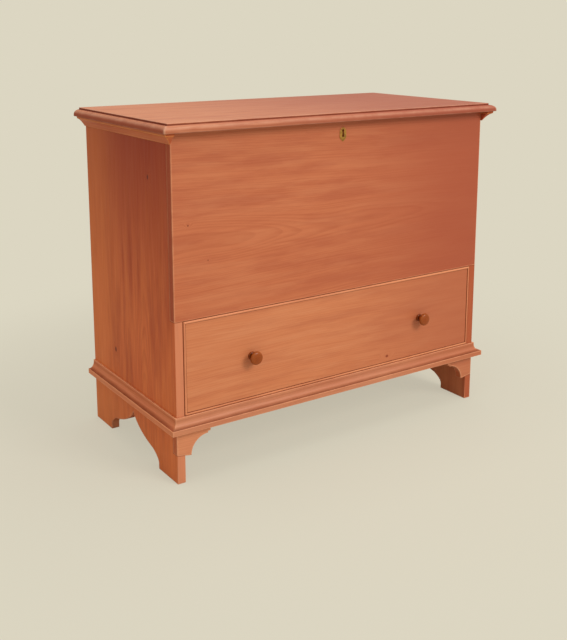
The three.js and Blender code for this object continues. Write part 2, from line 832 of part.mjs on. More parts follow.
for (const { name, x } of hingeCentres) {
  add(`hinge_case_leaf_${name}`, hingeLeaf(x, -1, caseHeight), 'iron');
  add(`hinge_lid_leaf_${name}`, hingeLeaf(x, 1, lidUnderside), 'iron');
  const pin = rod(pinRadius, [x - hingeLength / 2, x + hingeLength / 2], hingeSides, aboutPin);
  add(`hinge_pin_${name}`, pin, 'iron');
  hingeScrewPlaces(x, caseHeight).forEach((place, i) =>
    add(`hinge_case_screw_${name}_${i + 1}`, screw(hingeScrewLength, 'down', place), 'iron'));
  hingeScrewPlaces(x, lidUnderside).forEach((place, i) =>
    add(`hinge_lid_screw_${name}_${i + 1}`, screw(hingeScrewLength, 'up', place), 'iron'));
}

// Lock case: a plate flush with the panel's inner face and a hollow box sunk in the wood

const staplePlaces = [-1, 1].map((sign) => sign * stapleSpacing / 2);
const stapleFoot = lidUnderside - stapleLength;
const barTop = stapleFoot - boltClearance;
const barBottom = barTop - boltBarHeight;
const guideTop = barBottom - slideGap;
const plateFace = boardThickness - lockPlateThickness;
const lockFront = plateFace - lockDepth;

function lockCase() {
  const plate = block([-lockPlateWidth / 2, lockPlateWidth / 2], [plateFace, boardThickness],
    [caseHeight - lockPlateHeight, caseHeight]);
  const box = block([-lockWidth / 2, lockWidth / 2], [lockFront, plateFace],
    [caseHeight - lockHeight, caseHeight]);
  const hollow = block([-lockWidth / 2 + lockWall, lockWidth / 2 - lockWall],
    [lockFront + lockWall, plateFace],
    [caseHeight - lockHeight + lockWall, caseHeight - lockWall]);
  const guides = [-1, 1].map((sign) =>
    block(span(sign * (lockWidth / 2 - lockWall), sign * (lockWidth / 2 - lockWall - guideWidth)),
      [lockFront + lockWall, plateFace], [guideTop - guideThickness, guideTop]));
  const keyway = alongY(keyhole(0), [lockFront - overrun, lockFront + lockWall + jointGap]);
  const slots = staplePlaces.map((x) =>
    block([x - stapleThickness / 2 - 2 * jointGap, x + stapleThickness / 2 + 2 * jointGap],
      [catchY - stapleWidth / 2 - 2 * jointGap, catchY + stapleWidth / 2 + 2 * jointGap],
      [caseHeight - lockWall - jointGap, caseHeight + overrun]));
  const holes = lockScrews.map((place) => screwHole(lockScrewLength, 'forward', place));
  const shell = cut(join([plate, box]), [hollow, keyway, ...slots, ...holes]);
  return join([shell, ...guides]);
}

add('lock_case', lockCase(), 'iron');
lockScrews.forEach((place, i) =>
  add(`lock_screw_${i + 1}`, screw(lockScrewLength, 'forward', place), 'iron'));

// Lid catch: a plate let into the lid, with two eyed staples that drop into the lock

const eyeTop = lidUnderside - stapleEyeTop;
const eyeBottom = eyeTop - stapleEyeHeight;

function lidCatch() {
  const plate = block([-catchWidth / 2, catchWidth / 2], [catchY - catchDepth / 2, catchY + catchDepth / 2],
    [lidUnderside, lidUnderside + catchThickness]);
  const staples = staplePlaces.map((x) =>
    block([x - stapleThickness / 2, x + stapleThickness / 2],
      [catchY - stapleWidth / 2, catchY + stapleWidth / 2], [stapleFoot, lidUnderside]));
  const eyes = staplePlaces.map((x) =>
    block([x - stapleThickness / 2 - overrun, x + stapleThickness / 2 + overrun],
      [catchY - stapleEyeWidth / 2, catchY + stapleEyeWidth / 2], [eyeBottom, eyeTop]));
  const holes = catchScrews.map((place) => screwHole(lockScrewLength, 'up', place));
  return cut(join([plate, ...staples]), [...eyes, ...holes]);
}

add('lid_catch', lidCatch(), 'iron');
catchScrews.forEach((place, i) => add(`catch_screw_${i + 1}`, screw(lockScrewLength, 'up', place), 'iron'));

// Lock bolt: a bar on the guides with two fingers that slide through the staples' eyes

function lockBolt() {
  const fingerBottom = eyeBottom + (stapleEyeHeight - boltFingerHeight) / 2;
  const fingerTop = fingerBottom + boltFingerHeight;
  const thickness = [catchY - boltThickness / 2, catchY + boltThickness / 2];
  const hookTips = staplePlaces.map((x) => x - stapleThickness / 2 - boltFingerGap);
  const hookPosts = staplePlaces.map((x) => x - stapleThickness / 2 - boltTravel - boltEndGap);
  const hooks = hookPosts.flatMap((post, i) => [
    block([post - boltPostWidth, post], thickness, [barBottom, fingerTop]),
    block([post - boltPostWidth, hookTips[i]], thickness, [fingerBottom, fingerTop]),
  ]);
  const barSpan = [hookPosts[0] - boltPostWidth, hookPosts[1]];
  const bar = block(barSpan, thickness, [barBottom, barTop]);
  const middle = (barSpan[0] + barSpan[1]) / 2;
  const talon = block([middle - talonWidth / 2, middle + talonWidth / 2],
    [catchY - boltThickness, catchY + boltThickness], [barBottom - overrun, barBottom + talonDepth]);
  return cut(join([bar, ...hooks]), [talon]);
}

add('lock_bolt', lockBolt(), 'iron');

// Escutcheon: a pointed brass plate on the front panel, held by two pins

const escutcheonShares = [[0, 1], [0.62, 0.8], [1, 0.45], [1, -0.4], [0.66, -0.7], [0, -1]];

function escutcheon() {
  const right = escutcheonShares.map(([u, v]) =>
    [u * escutcheonWidth / 2, escutcheonZ + v * escutcheonHeight / 2]);
  const left = right.slice(1, -1).reverse().map(([x, z]) => [-x, z]);
  const plate = alongY([...right, ...left], [-escutcheonThickness, 0], [keyhole(0)]);
  return cut(plate, escutcheonPins.map(({ z }) => pinHole(z)));
}

add('keyhole_escutcheon', escutcheon(), 'brass');

function escutcheonPin(z) {
  const face = -escutcheonThickness;
  const profile = [
    [0, face - pinHeadThickness], [pinHeadRadius / 2, face - pinHeadThickness], [pinHeadRadius, face],
    [pinShankRadius, face], [pinShankRadius, pinLength - pinShankRadius], [0, pinLength],
  ];
  return turned(profile, screwSides, onAxis.back(0, 0, z));
}

for (const { name, z } of escutcheonPins) add(`escutcheon_pin_${name}`, escutcheonPin(z), 'brass');

// The footprint reaches from the lid's front nose to its back edge.
chest.position.y = (lidOverhang - lidBackOverhang - caseDepth) / 2;

console.log(`${chest.children.length} pieces, ${lidUnderside + lidThickness} mm high over the lid`);

export default chest;
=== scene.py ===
# %% [markdown]
# A mule chest is a lidded box that stands over one long drawer. It is joiner's work in wide pine
# boards: two sides that run down into sawn feet, a front lapped over their edges, a moulded lid on
# cleats, and a moulding round the foot. The solid model of the chest is loaded first, as a fixed
# frame. Boards that are flat and plain keep their solids. Every moulded, turned or softened piece
# is made again here as a smooth surface, in the place that the solid gives it.

import bmesh
import bpy
import numpy as np
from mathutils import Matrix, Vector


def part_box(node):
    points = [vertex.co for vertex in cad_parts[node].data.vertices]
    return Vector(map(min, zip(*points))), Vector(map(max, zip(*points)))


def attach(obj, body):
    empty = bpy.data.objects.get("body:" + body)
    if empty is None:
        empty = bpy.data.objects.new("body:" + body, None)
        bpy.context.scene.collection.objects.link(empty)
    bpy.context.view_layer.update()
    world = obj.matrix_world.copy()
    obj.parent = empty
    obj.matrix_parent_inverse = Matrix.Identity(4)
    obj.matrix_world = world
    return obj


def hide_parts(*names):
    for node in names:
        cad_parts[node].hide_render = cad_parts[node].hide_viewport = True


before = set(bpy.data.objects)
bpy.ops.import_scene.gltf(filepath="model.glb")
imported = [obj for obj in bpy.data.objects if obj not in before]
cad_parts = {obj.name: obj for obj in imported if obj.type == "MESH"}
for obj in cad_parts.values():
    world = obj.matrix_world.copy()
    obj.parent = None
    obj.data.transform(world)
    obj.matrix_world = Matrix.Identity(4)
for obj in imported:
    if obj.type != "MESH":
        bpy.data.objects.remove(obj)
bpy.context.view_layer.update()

scene = bpy.context.scene

# %% [markdown]
# A joiner thinks in millimetres measured from the front of the case, so the shapes below do too.
# Two small helpers turn a solid's box into those measures and put finished points back in metres.

# %% Millimetres of the case
MM = 0.001
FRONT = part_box("front_panel")[0].y
SIDES = (("left", -1), ("right", 1))


def case_box(node):
    """Lowest and highest corner of a solid in millimetres, y counted back from the case's front."""
    return [(np.array(corner) - (0, FRONT, 0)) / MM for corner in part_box(node)]


def place(points):
    """Points in case millimetres as points of the frame in metres."""
    return np.asarray(points, float) * MM + (0, FRONT, 0)


panel_low, panel_high = case_box("front_panel")
side_low, side_high = case_box("side_board_right")
rail_low, rail_high = case_box("front_rail")
HALF, INNER, DEPTH = side_high[0], side_low[0], side_high[1]
CASE_TOP, PANEL_FOOT, BOARD = side_high[2], panel_low[2], panel_high[1]
print("case and its boards, mm:", np.round((2 * HALF, DEPTH, CASE_TOP, BOARD), 1))

# %% [markdown]
# The camera stands to the left of the chest and a little above its lid, where the picture was
# drawn from. The picture keeps its upright lines parallel, as a view camera does when its lens is
# shifted instead of tipped. Every other view keeps the shift too, and a full one would push the
# chest out of the frame there, so the lens is shifted by part of it and tipped by the rest.

# %% Camera
CAMERA_PLACE = (-1.480, -2.155, 1.112)
CAMERA_YAW, CAMERA_PITCH = np.radians(34.02), np.radians(11.12)
LENS_PIXELS, PICTURE_HEIGHT, SHIFT_PIXELS, SENSOR = 935.9, 640, -110, 36


def put(name, data):
    """A mesh, a lamp or a camera as a new object of the scene."""
    made = bpy.data.objects.new(name, data)
    scene.collection.objects.link(made)
    return made


camera = put("camera", bpy.data.cameras.new("camera"))
camera.location = CAMERA_PLACE
camera.rotation_euler = (np.pi / 2 - CAMERA_PITCH, 0, -CAMERA_YAW)
camera.data.sensor_width = SENSOR
camera.data.lens = LENS_PIXELS / PICTURE_HEIGHT * SENSOR
camera.data.shift_y = SHIFT_PIXELS / PICTURE_HEIGHT
scene.camera = camera
print("lens, mm:", round(camera.data.lens, 1))

# %% [markdown]
# Every new piece is a closed skin: a row of rings, each ring the same number of points, joined by
# quads. A moulding is its profile carried from end to end, a board is its outline carried through
# its thickness, and a knob is a circle carried along its axis. The same pieces could be modelled by
# hand, but a formula keeps each size in one named place. Two numbers ride on each point for the
# finish. One marks where hands and cloths rub the stain thin, and on the lid's edge it also paints a
# highlight. The other marks where wax and dust lie, and it also paints shade into hollows, corners and
# joints.

# %% Skins
DOUBLED, FLAT = 2e-6, 1e-6  # metres


def settle(mesh, crease):
    """Merges doubled points, turns faces outwards, and keeps edges sharper than crease degrees."""
    work = bmesh.new()
    work.from_mesh(mesh)
    bmesh.ops.remove_doubles(work, verts=work.verts, dist=DOUBLED)
    bmesh.ops.dissolve_degenerate(work, edges=work.edges, dist=FLAT)
    bmesh.ops.recalc_face_normals(work, faces=work.faces)
    work.to_mesh(mesh)
    work.free()
    mesh.shade_smooth()
    mesh.set_sharp_from_angle(angle=np.radians(crease))


def skin(name, rings, wear_and_highlight=0.0, grime_and_shade=0.0, crease=35):
    """A closed skin: quads join point j of ring i to its neighbours j + 1 and i + 1, and a flat
    face closes the first ring and the last."""
    rings = np.asarray(rings, float)
    count, around = rings.shape[:2]
    i, j = np.mgrid[0:count - 1, 0:around]
    k = (j + 1) % around
    quads = np.stack([i * around + j, i * around + k, (i + 1) * around + k, (i + 1) * around + j], -1)
    last = (count - 1) * around
    ends = [list(range(around))[::-1], list(range(last, last + around))]
    mesh = bpy.data.meshes.new(name)
    mesh.from_pydata(place(rings.reshape(-1, 3)), [], quads.reshape(-1, 4).tolist() + ends)
    # The first number paints wear and, on the lid's edge, a highlight. The second paints dirt and shade.
    for mark, values in (("wear_and_highlight", wear_and_highlight), ("grime_and_shade", grime_and_shade)):
        spread = np.broadcast_to(values, (count, around)).astype(np.float32)
        mesh.attributes.new(mark, "FLOAT", "POINT").data.foreach_set("value", spread.ravel())
    settle(mesh, crease)
    return put(name, mesh)


print("points merged when closer than, mm:", round(DOUBLED / MM, 4))

# %% [markdown]
# A board is never knife-sharp: its arrises are taken off with a plane and then rounded by use. A
# Bevel could round them, but it leaves no mark of where the wear is. So the outline is stepped
# inwards near each face along a quarter circle, and its own corners are rounded the same way, and
# each rounded point knows that it is worn.

# %% Outlines
SHARP_TURN = 25


def winding(outline):
    """1 for an outline that runs anticlockwise and -1 for a clockwise one: the sign of its area,
    which is half the sum of each point crossed with the next."""
    after = np.roll(outline, -1, 0)
    return np.sign(np.sum(outline[:, 0] * after[:, 1] - outline[:, 1] * after[:, 0]))


def inset(outline, distance):
    """The outline moved inwards: each corner slides along its mitre by distance over the cosine
    of half the turn."""
    ahead = np.roll(outline, -1, 0) - outline
    ahead /= np.linalg.norm(ahead, axis=1, keepdims=True)
    inward = winding(outline) * np.stack([-ahead[:, 1], ahead[:, 0]], 1)
    before = np.roll(inward, 1, 0)
    share = 1 + np.sum(inward * before, axis=1, keepdims=True)
    return outline + distance * (inward + before) / share


def corners(outline):
    """1 at a sharp corner that stands out, -1 at one that turns in, 0 where the outline runs on."""
    ahead = np.roll(outline, -1, 0) - outline
    behind = np.roll(ahead, 1, 0)
    cross = behind[:, 0] * ahead[:, 1] - behind[:, 1] * ahead[:, 0]
    angle = np.degrees(np.arctan2(cross, np.sum(behind * ahead, axis=1)))
    return np.where(np.abs(angle) > SHARP_TURN, np.sign(angle) * winding(outline), 0)


print("a corner is sharp when it turns by more than, degrees:", SHARP_TURN)

# %% [markdown]
# Only the sharp corners are rounded, because a long curve is already smooth. Each becomes a short
# parabola, with one more point a little way along each edge, so that the shading stays flat up to
# the corner. Hollows, noses and arches are drawn with two kinds of curve: part of an ellipse, and a
# curve that bends towards a third point on its way from one end to the other.

# %% Rounded corners and curves
CORNER_STEPS = np.linspace(0, 1, 5)
EDGE_SHARE = 0.45  # so much of an edge at most, so that the arcs at its two ends never meet


def rounded(outline, kinds, radius, rim):
    """Each sharp corner becomes a parabola whose ends lie radius away along its two edges, with
    one more point rim away on either side. Returns the points, and 1 on each arc that stands out
    and on each arc that turns in."""
    ahead = np.roll(outline, -1, 0) - outline
    length = np.linalg.norm(ahead, axis=1, keepdims=True)
    ahead = ahead / np.maximum(length, 1e-9)  # two points at one place have no direction
    behind, before = np.roll(ahead, 1, 0), np.roll(length, 1, 0)
    steps = len(CORNER_STEPS) + 2
    counts = np.where(kinds != 0, steps, 1)
    pick = np.repeat(np.arange(len(outline)), counts)
    index = np.arange(len(pick)) - (np.cumsum(counts) - counts)[pick]
    far_back, far_on = np.minimum(rim, EDGE_SHARE * before), np.minimum(rim, EDGE_SHARE * length)
    enter = outline - behind * np.minimum(radius, far_back)
    leave = outline + ahead * np.minimum(radius, far_on)
    t = CORNER_STEPS[np.clip(index - 1, 0, len(CORNER_STEPS) - 1)][:, None]
    arc = (1 - t) ** 2 * enter[pick] + 2 * t * (1 - t) * outline[pick] + t ** 2 * leave[pick]
    first, final = (outline - behind * far_back)[pick], (outline + ahead * far_on)[pick]
    step = index[:, None]
    turned = np.where(step == 0, first, np.where(step == steps - 1, final, arc))
    kind = kinds[pick]
    points = np.where(kind[:, None] != 0, turned, outline[pick])
    on_arc = (index > 0) & (index < steps - 1)
    return points, (on_arc & (kind > 0)).astype(float), (on_arc & (kind < 0)).astype(float)


def bow(centre, reach, start, end, steps=16):
    """Points of an ellipse from one angle to another, in degrees."""
    angle = np.radians(np.linspace(start, end, steps))
    return np.stack([centre[0] + reach[0] * np.cos(angle), centre[1] + reach[1] * np.sin(angle)], 1)


def hang(first, pull, last, steps=12):
    """Points of a curve that leaves first towards pull and comes in to last from it: the squares
    and products of the share t weigh the three points."""
    t = np.linspace(0, 1, steps)[:, None]
    first, pull, last = (np.array(p, float) for p in (first, pull, last))
    return (1 - t) ** 2 * first + 2 * t * (1 - t) * pull + t ** 2 * last


print("points on a rounded corner:", len(CORNER_STEPS) + 2)

# %% [markdown]
# With its outline worked out, a board is carried through its thickness. Every outline of the stack
# has the same number of points, so a corner keeps a trace of its rounding even where the board's
# face is reached and the rounding is used up.

# %% Boards
EASE_ANGLES = np.linspace(0, np.pi / 2, 5)
TRACE = 50  # the part of the ease that a corner keeps


def board(name, outline, span, at, ease=1.2, rim=3.5):
    """A board sawn to an outline and carried through span. Near each face the outline steps in by
    ease times one minus the sine of an angle, while the depth grows by ease times one minus its
    cosine, which is a quarter circle. at(a, b, depth) gives the point in the case."""
    outline = np.asarray(outline, float)
    kinds = corners(outline)
    steps_in = np.concatenate([[rim], ease * (1 - np.sin(EASE_ANGLES)), [0]])
    depths = np.concatenate([[0], ease * (1 - np.cos(EASE_ANGLES)), [rim]])
    depths = np.minimum(depths, (span[1] - span[0]) / 2)
    edges = np.concatenate([[0], np.ones(len(EASE_ANGLES)), [0]])
    walls = np.concatenate([[0], np.ones(len(EASE_ANGLES) + 1)])
    near, far, wear_and_highlight = [], [], []
    for step, depth, edge, wall in zip(steps_in, depths, edges, walls):
        flat, out, _ = rounded(inset(outline, step), kinds, max(ease - step, ease / TRACE), rim)
        depth = np.full(len(flat), depth)
        near.append(np.stack(at(flat[:, 0], flat[:, 1], span[0] + depth), -1))
        far.append(np.stack(at(flat[:, 0], flat[:, 1], span[1] - depth), -1))
        wear_and_highlight.append(np.maximum(edge, wall * out))
    return skin(name, near + far[::-1], wear_and_highlight=wear_and_highlight + wear_and_highlight[::-1], crease=40)


print("steps in a rounded arris:", len(EASE_ANGLES) - 1)

# %% [markdown]
# Notches, grooves and mortises are cut as a joiner cuts them, by taking a solid shape out of the
# finished board. A Boolean modifier does that, and it is applied at once, so that the cutter can be
# thrown away. Joints get a third of a millimetre of room, and every cutter runs 5 mm past the wood
# that it opens, because two faces in one plane would leave a ragged cut.

# %% Cutters
GAP, PAST = 0.3, 5


def block(name, x, y, z):
    """A plain cutter that fills x, y and z, each from its lowest to its highest value."""
    ring = np.array([(x[i], y[j], z[0]) for i, j in ((0, 0), (1, 0), (1, 1), (0, 1))], float)
    return skin(name, [ring, ring + (0, 0, z[1] - z[0])])


def wedge(name, outline, low, high):
    """A cutter whose outline in x and z is carried from one y to another."""
    x, z = np.asarray(outline, float).T
    return skin(name, [np.stack([x, np.full(len(x), y), z], 1) for y in (low, high)])


def loose(low, high, axis):
    """How far a solid reaches along an axis, with a gap at either end."""
    return low[axis] - GAP, high[axis] + GAP


def carve(piece, cutters, crease=40):
    """Takes the cutters' solids out of the piece for good, and removes the cutters."""
    for cutter in cutters:
        cut = piece.modifiers.new("cut", "BOOLEAN")
        cut.operation, cut.solver, cut.object = "DIFFERENCE", "EXACT", cutter
    graph = bpy.context.evaluated_depsgraph_get()
    carved = bpy.data.meshes.new_from_object(piece.evaluated_get(graph))
    piece.modifiers.clear()
    piece.data = carved
    carved.name = piece.name
    carved.set_sharp_from_angle(angle=np.radians(crease))
    for cutter in cutters:
        bpy.data.objects.remove(cutter)


def paint(piece, finish):
    """Gives a piece one material and no other."""
    piece.data.materials.clear()
    piece.data.materials.append(finish)


def fit(piece, body, slot, finish, *nodes):
    """Gives a finished piece its material, the body that carries it and the solids that it stands for,
    and prints how many faces it has. slot is not used."""
    paint(piece, finish)
    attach(piece, body)
    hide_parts(*nodes)
    print(piece.name, "faces:", len(piece.data.polygons))


print("joint gap, mm:", GAP, "cutters run past, mm:", PAST)

# %% [markdown]
# A moulding is a profile run along the edge of a board. Where it turns a corner it is mitred, which
# means that every point of the profile travels out by its own reach before it turns. A curve with a
# bevel would carry the profile too, but would cut its ends square. Two ways of carrying it serve
# here: along a straight length with mitred ends, and round the edge of a lid or a cleat.

# %% Mouldings
EASE, MITRE_RIM = 0.8, 4


def column(values):
    """Values for whole rings, laid out so that they spread along each ring."""
    return np.asarray(values, float)[:, None]


def dirt_and_shade_on(flat, into, grime_and_shade):
    """Dirt and painted shade lie in every corner that turns in, and wherever the function given for (u, h)
    says.
    """
    return into if grime_and_shade is None else np.maximum(into, grime_and_shade(flat[:, 0], flat[:, 1]))


def length_of(name, profile, start, end, ease=EASE, rim=2.0, grime_and_shade=None, mitre_wear=0.8):
    """A profile of rows (u, h) carried straight from start(u, h) to end(u, h), which are the two
    mitre planes. Every point moves along its own line by the same share of its length."""
    flat, out, into = rounded(profile, corners(profile), ease, rim)
    first, last = (np.stack(np.broadcast_arrays(*way(flat[:, 0], flat[:, 1])), -1) for way in (start, end))
    near_end = MITRE_RIM / np.linalg.norm(last - first, axis=1).mean()
    shares = np.array([0, near_end, 0.25, 0.5, 0.75, 1 - near_end, 1])
    rings = first + (last - first) * shares[:, None, None]
    ends = column(np.isin(shares, (0, 1)) * mitre_wear)
    return skin(name, rings, wear_and_highlight=np.maximum(ends, out), grime_and_shade=dirt_and_shade_on(flat, into, grime_and_shade))


def edged(name, profile, plan, turned, rim=4.0, corner=2.0, wear_and_highlight=None, grime_and_shade=None):
    """A solid whose plan changes with height: plan(u) gives its four corners for the profile's
    reach u, and each row (u, h) of the profile lays one ring at height h. turned says which
    corners of the plan are worn round."""
    kinds = corners(profile)
    kinds[[0, -1]] = 0
    flat, out, into = rounded(profile, kinds, EASE, rim)
    rings, worn_and_lit = [], []
    for (u, h), edge in zip(flat, out):
        ring, arc, _ = rounded(np.asarray(plan(u), float), np.array(turned), corner, 3 * corner)
        rings.append(np.column_stack([ring, np.full(len(ring), h)]))
        worn_and_lit.append(np.maximum(edge, arc * (u > profile[:, 0].min() + rim)))
    extra = 0 if wear_and_highlight is None else column(wear_and_highlight(flat[:, 0], flat[:, 1]))
    dirt_and_shade_rings = column(dirt_and_shade_on(flat, into, grime_and_shade))
    return skin(name, rings, wear_and_highlight=np.maximum(worn_and_lit, extra), grime_and_shade=dirt_and_shade_rings, crease=30)


print("arris of a moulding, mm:", EASE)

# %% [markdown]
# Each material below is built from what the real one is. Its colours are ordinary sRGB hex values,
# which Blender wants as linear light. One small helper adds a node, sets it and wires it, so that
# each recipe reads from top to bottom. Most patterns pass through a Map Range, whose inputs 1 and 2
# are the range that is read and 3 and 4 the range that it becomes, from 0 to 1 where they aren't
# given.

# %% Colours and nodes
def linear(code):
    """An sRGB hex colour as linear light: the share is divided by 12.92 in the darkest part and
    otherwise lifted to the power 2.4."""
    share = np.array([int(code[i:i + 2], 16) for i in (1, 3, 5)]) / 255
    light = np.where(share <= 0.04045, share / 12.92, ((share + 0.055) / 1.055) ** 2.4)
    return (*light.tolist(), 1.0)


def add(tree, kind, wires=None, **settings):
    """Adds a shader node, applies its settings and fills its inputs, which are named or counted.
    A wire is a number, a colour, a socket, or a node whose first output is meant."""
    made = tree.nodes.new(f"ShaderNode{kind}")
    for key, value in settings.items():
        setattr(made, key, value)
    ready = [socket for socket in made.inputs if socket.enabled]
    for key, value in (wires or {}).items():
        socket = ready[key] if isinstance(key, int) else next(s for s in ready if s.name == key)
        if isinstance(value, bpy.types.Node):
            value = next(out for out in value.outputs if out.enabled)
        if isinstance(value, bpy.types.NodeSocket):
            tree.links.new(value, socket)
        else:
            socket.default_value = value
    return made


def layered(tree, colour, layers):
    """Lays tones over a colour in turn. Each layer is a share from 0 to 1 and a tone."""
    for share, tone in layers:
        colour = add(tree, "Mix", {0: share, 1: colour, 2: tone}, data_type="RGBA")
    return colour


def material(name):
    """A new material with an empty node tree."""
    made = bpy.data.materials.new(name)
    made.use_nodes = True
    made.node_tree.nodes.clear()
    return made, made.node_tree


print("middle grey as linear light:", round(linear("#808080")[0], 3))

# %% [markdown]
# The chest is plain-sawn pine under a thin red-brown stain and old wax. A plain-sawn board shows
# the tree's yearly rings as long wavering lines, with a dark hard edge to each ring, because the
# saw passes beside the heart of the tree. Streaks drawn on each face would not meet at its edges,
# so the recipe builds the tree itself: rings about 4 mm apart round a heart that lies outside the
# board, bent by slow noise and pushed aside by knots. The same solid pattern gives arcs on end
# grain with no extra work. Distances are in metres here, and noises count their waves to a metre.

# %% Growth of a tree
RING, TAPER = 0.0042, 0.02
LEAN, WAVER = (1.6, 5.0, 5.0), (0.0, 0.032, 0.032)
KNOT_SHAPE, KNOT_SWELL, KNOT_PUSH, KNOT_CORE = (0.7, 1.0, 0.25), 5, 2.6, 0.35
LEAN_YEARS, LEAN_YEARS_BY = 0.35, 2.5
SUMMER, WINTER = 0.25, 0.9


def growth(tree, spot, knots):
    """Rings round the tree's heart, as seen at spot (along, across, through, from the heart). A
    ring's number is the distance from the heart's line, plus a little more further up the tree,
    over the ring's thickness. Returns the bent place, how late in its year the wood there grew,
    and how much of it is knot."""
    # The tree leans and wavers by about 15 mm over half a metre.
    slow = add(tree, "VectorMath", {0: spot, 1: LEAN}, operation="MULTIPLY")
    waver = add(tree, "TexNoise", {"Vector": slow, "Scale": 1.0, "Detail": 2.0})
    bent = add(tree, "VectorMath", {0: waver.outputs["Color"], 1: WAVER, 2: spot}, operation="MULTIPLY_ADD")

    # A knot is the root of a branch: the rings swell round it, and its own wood is dark.
    knot = 0.0
    for centre, size in knots:
        reach = add(tree, "VectorMath", {0: spot, 1: centre}, operation="SUBTRACT")
        reach = add(tree, "VectorMath", {0: reach, 1: KNOT_SHAPE}, operation="MULTIPLY")
        reach = add(tree, "VectorMath", {0: reach}, operation="LENGTH")
        swell = add(tree, "MapRange", {0: reach, 1: 0.0, 2: size * KNOT_SWELL, 3: size * KNOT_PUSH, 4: 0.0},
                    interpolation_type="SMOOTHERSTEP")
        push = add(tree, "CombineXYZ", {2: swell})
        bent = add(tree, "VectorMath", {0: bent, 1: push}, operation="ADD")
        core = add(tree, "MapRange", {0: reach, 1: size * KNOT_CORE, 2: size, 3: 1.0, 4: 0.0},
                   interpolation_type="SMOOTHSTEP")
        knot = add(tree, "Math", {0: knot, 1: core}, operation="MAXIMUM")

    # A year starts pale in spring, darkens from summer on and ends hard against the next one.
    parts = add(tree, "SeparateXYZ", {0: bent})
    radius = add(tree, "VectorMath", {0: bent, 1: (0.0, 1.0, 1.0)}, operation="MULTIPLY")
    radius = add(tree, "VectorMath", {0: radius}, operation="LENGTH")
    radius = add(tree, "Math", {0: parts.outputs[0], 1: TAPER, 2: radius}, operation="MULTIPLY_ADD")
    years = add(tree, "Math", {0: radius, 1: RING}, operation="DIVIDE")
    uneven = add(tree, "TexNoise", {"W": years, "Scale": LEAN_YEARS, "Detail": 1.0}, noise_dimensions="1D")
    years = add(tree, "Math", {0: uneven, 1: LEAN_YEARS_BY, 2: years}, operation="MULTIPLY_ADD")
    season = add(tree, "Math", {0: years}, operation="FRACT")
    late = add(tree, "MapRange", {0: season, 1: SUMMER, 2: WINTER}, interpolation_type="SMOOTHSTEP")
    ending = add(tree, "MapRange", {0: season, 1: WINTER, 2: 1.0, 3: 1.0, 4: 0.0})
    late = add(tree, "Math", {0: late, 1: ending}, operation="MULTIPLY")
    return bent, late, knot


print("rings to a decimetre of board:", round(0.1 / RING))

# %% [markdown]
# Three finishes cover the chest: the stain, a lighter coat of it on the drawer, the brackets and the
# front moulding, and none at all on the wood that doesn't show. The inside of the case was left bare
# too, so every stained board turns to bare wood there. A second material on the inner faces could
# show that, but a box in space needs no faces picked out. Each finish is a set of tones: the stain
# itself, the wood that took it deep or hardly at all, warm clouds in it, end grain, knots, worn
# places, which also carry painted light, and a dark tone for dirt and painted shade.

# %% Tones of the wood
# The last, dark tone of each finish paints dirt and shade alike. The worn tone also paints light.
STAINED = {"stain": "#BF6B43", "deep": "#A04A28", "pale": "#CB8056", "warm": "#A34C2F",
           "end": "#A4462A", "knot": "#6E2A16", "worn_and_lit": "#DA9068", "grime_and_shade": "#62200E"}
LIGHTER = {"stain": "#CA7A4E", "deep": "#B26038", "pale": "#D58E62", "warm": "#AE5C3A",
           "end": "#B6582E", "knot": "#87391C", "worn_and_lit": "#E09C74", "grime_and_shade": "#6A2610"}
BARE = {"stain": "#D09A6C", "deep": "#AA6E42", "pale": "#DEB48C", "warm": "#BE8254",
        "end": "#94693C", "knot": "#6B4021", "worn_and_lit": "#DEC39B", "grime_and_shade": "#6E5031"}
cavity_low = place((-INNER, min(BOARD, case_box("drawer_front")[1][1]), rail_low[2]))
cavity_high = place((INNER, DEPTH, CASE_TOP))


def tones_at(tree, spot, tones):
    """Each tone as linear light, turned to bare wood inside the case. The spot is held to the box
    of the inside: wood that this moves by less than a millimetre faces the inside."""
    tone = {key: linear(code) for key, code in tones.items()}
    if tones is BARE:
        return tone
    held = add(tree, "VectorMath", {0: spot, 1: cavity_low.tolist()}, operation="MAXIMUM")
    held = add(tree, "VectorMath", {0: held, 1: cavity_high.tolist()}, operation="MINIMUM")
    off = add(tree, "VectorMath", {0: spot, 1: held}, operation="DISTANCE")
    inside = add(tree, "MapRange", {0: off, 1: 0.3 * MM, 2: MM, 3: 1.0, 4: 0.0})
    return {key: layered(tree, tone[key], [(inside, linear(BARE[key]))]) for key in tone}


print("tones to a finish:", len(STAINED))

# %% [markdown]
# The stain soaks deeper where the grain is open and on end grain, and lies in soft clouds over a
# wide board. Fibres are under 0.1 mm wide in real pine, too fine to show, so they are drawn as
# streaks about 5 mm wide and 140 mm long. Some boards turn to another tone towards one end.

# %% Stain on a board
FIBRES, PATCHES = (7.0, 190.0, 190.0), 38.0
CLOUDS = (((3.0, 22.0, 22.0), 0.0, "warm", 0.45), ((4.0, 34.0, 34.0), 7.0, "pale", 0.27))


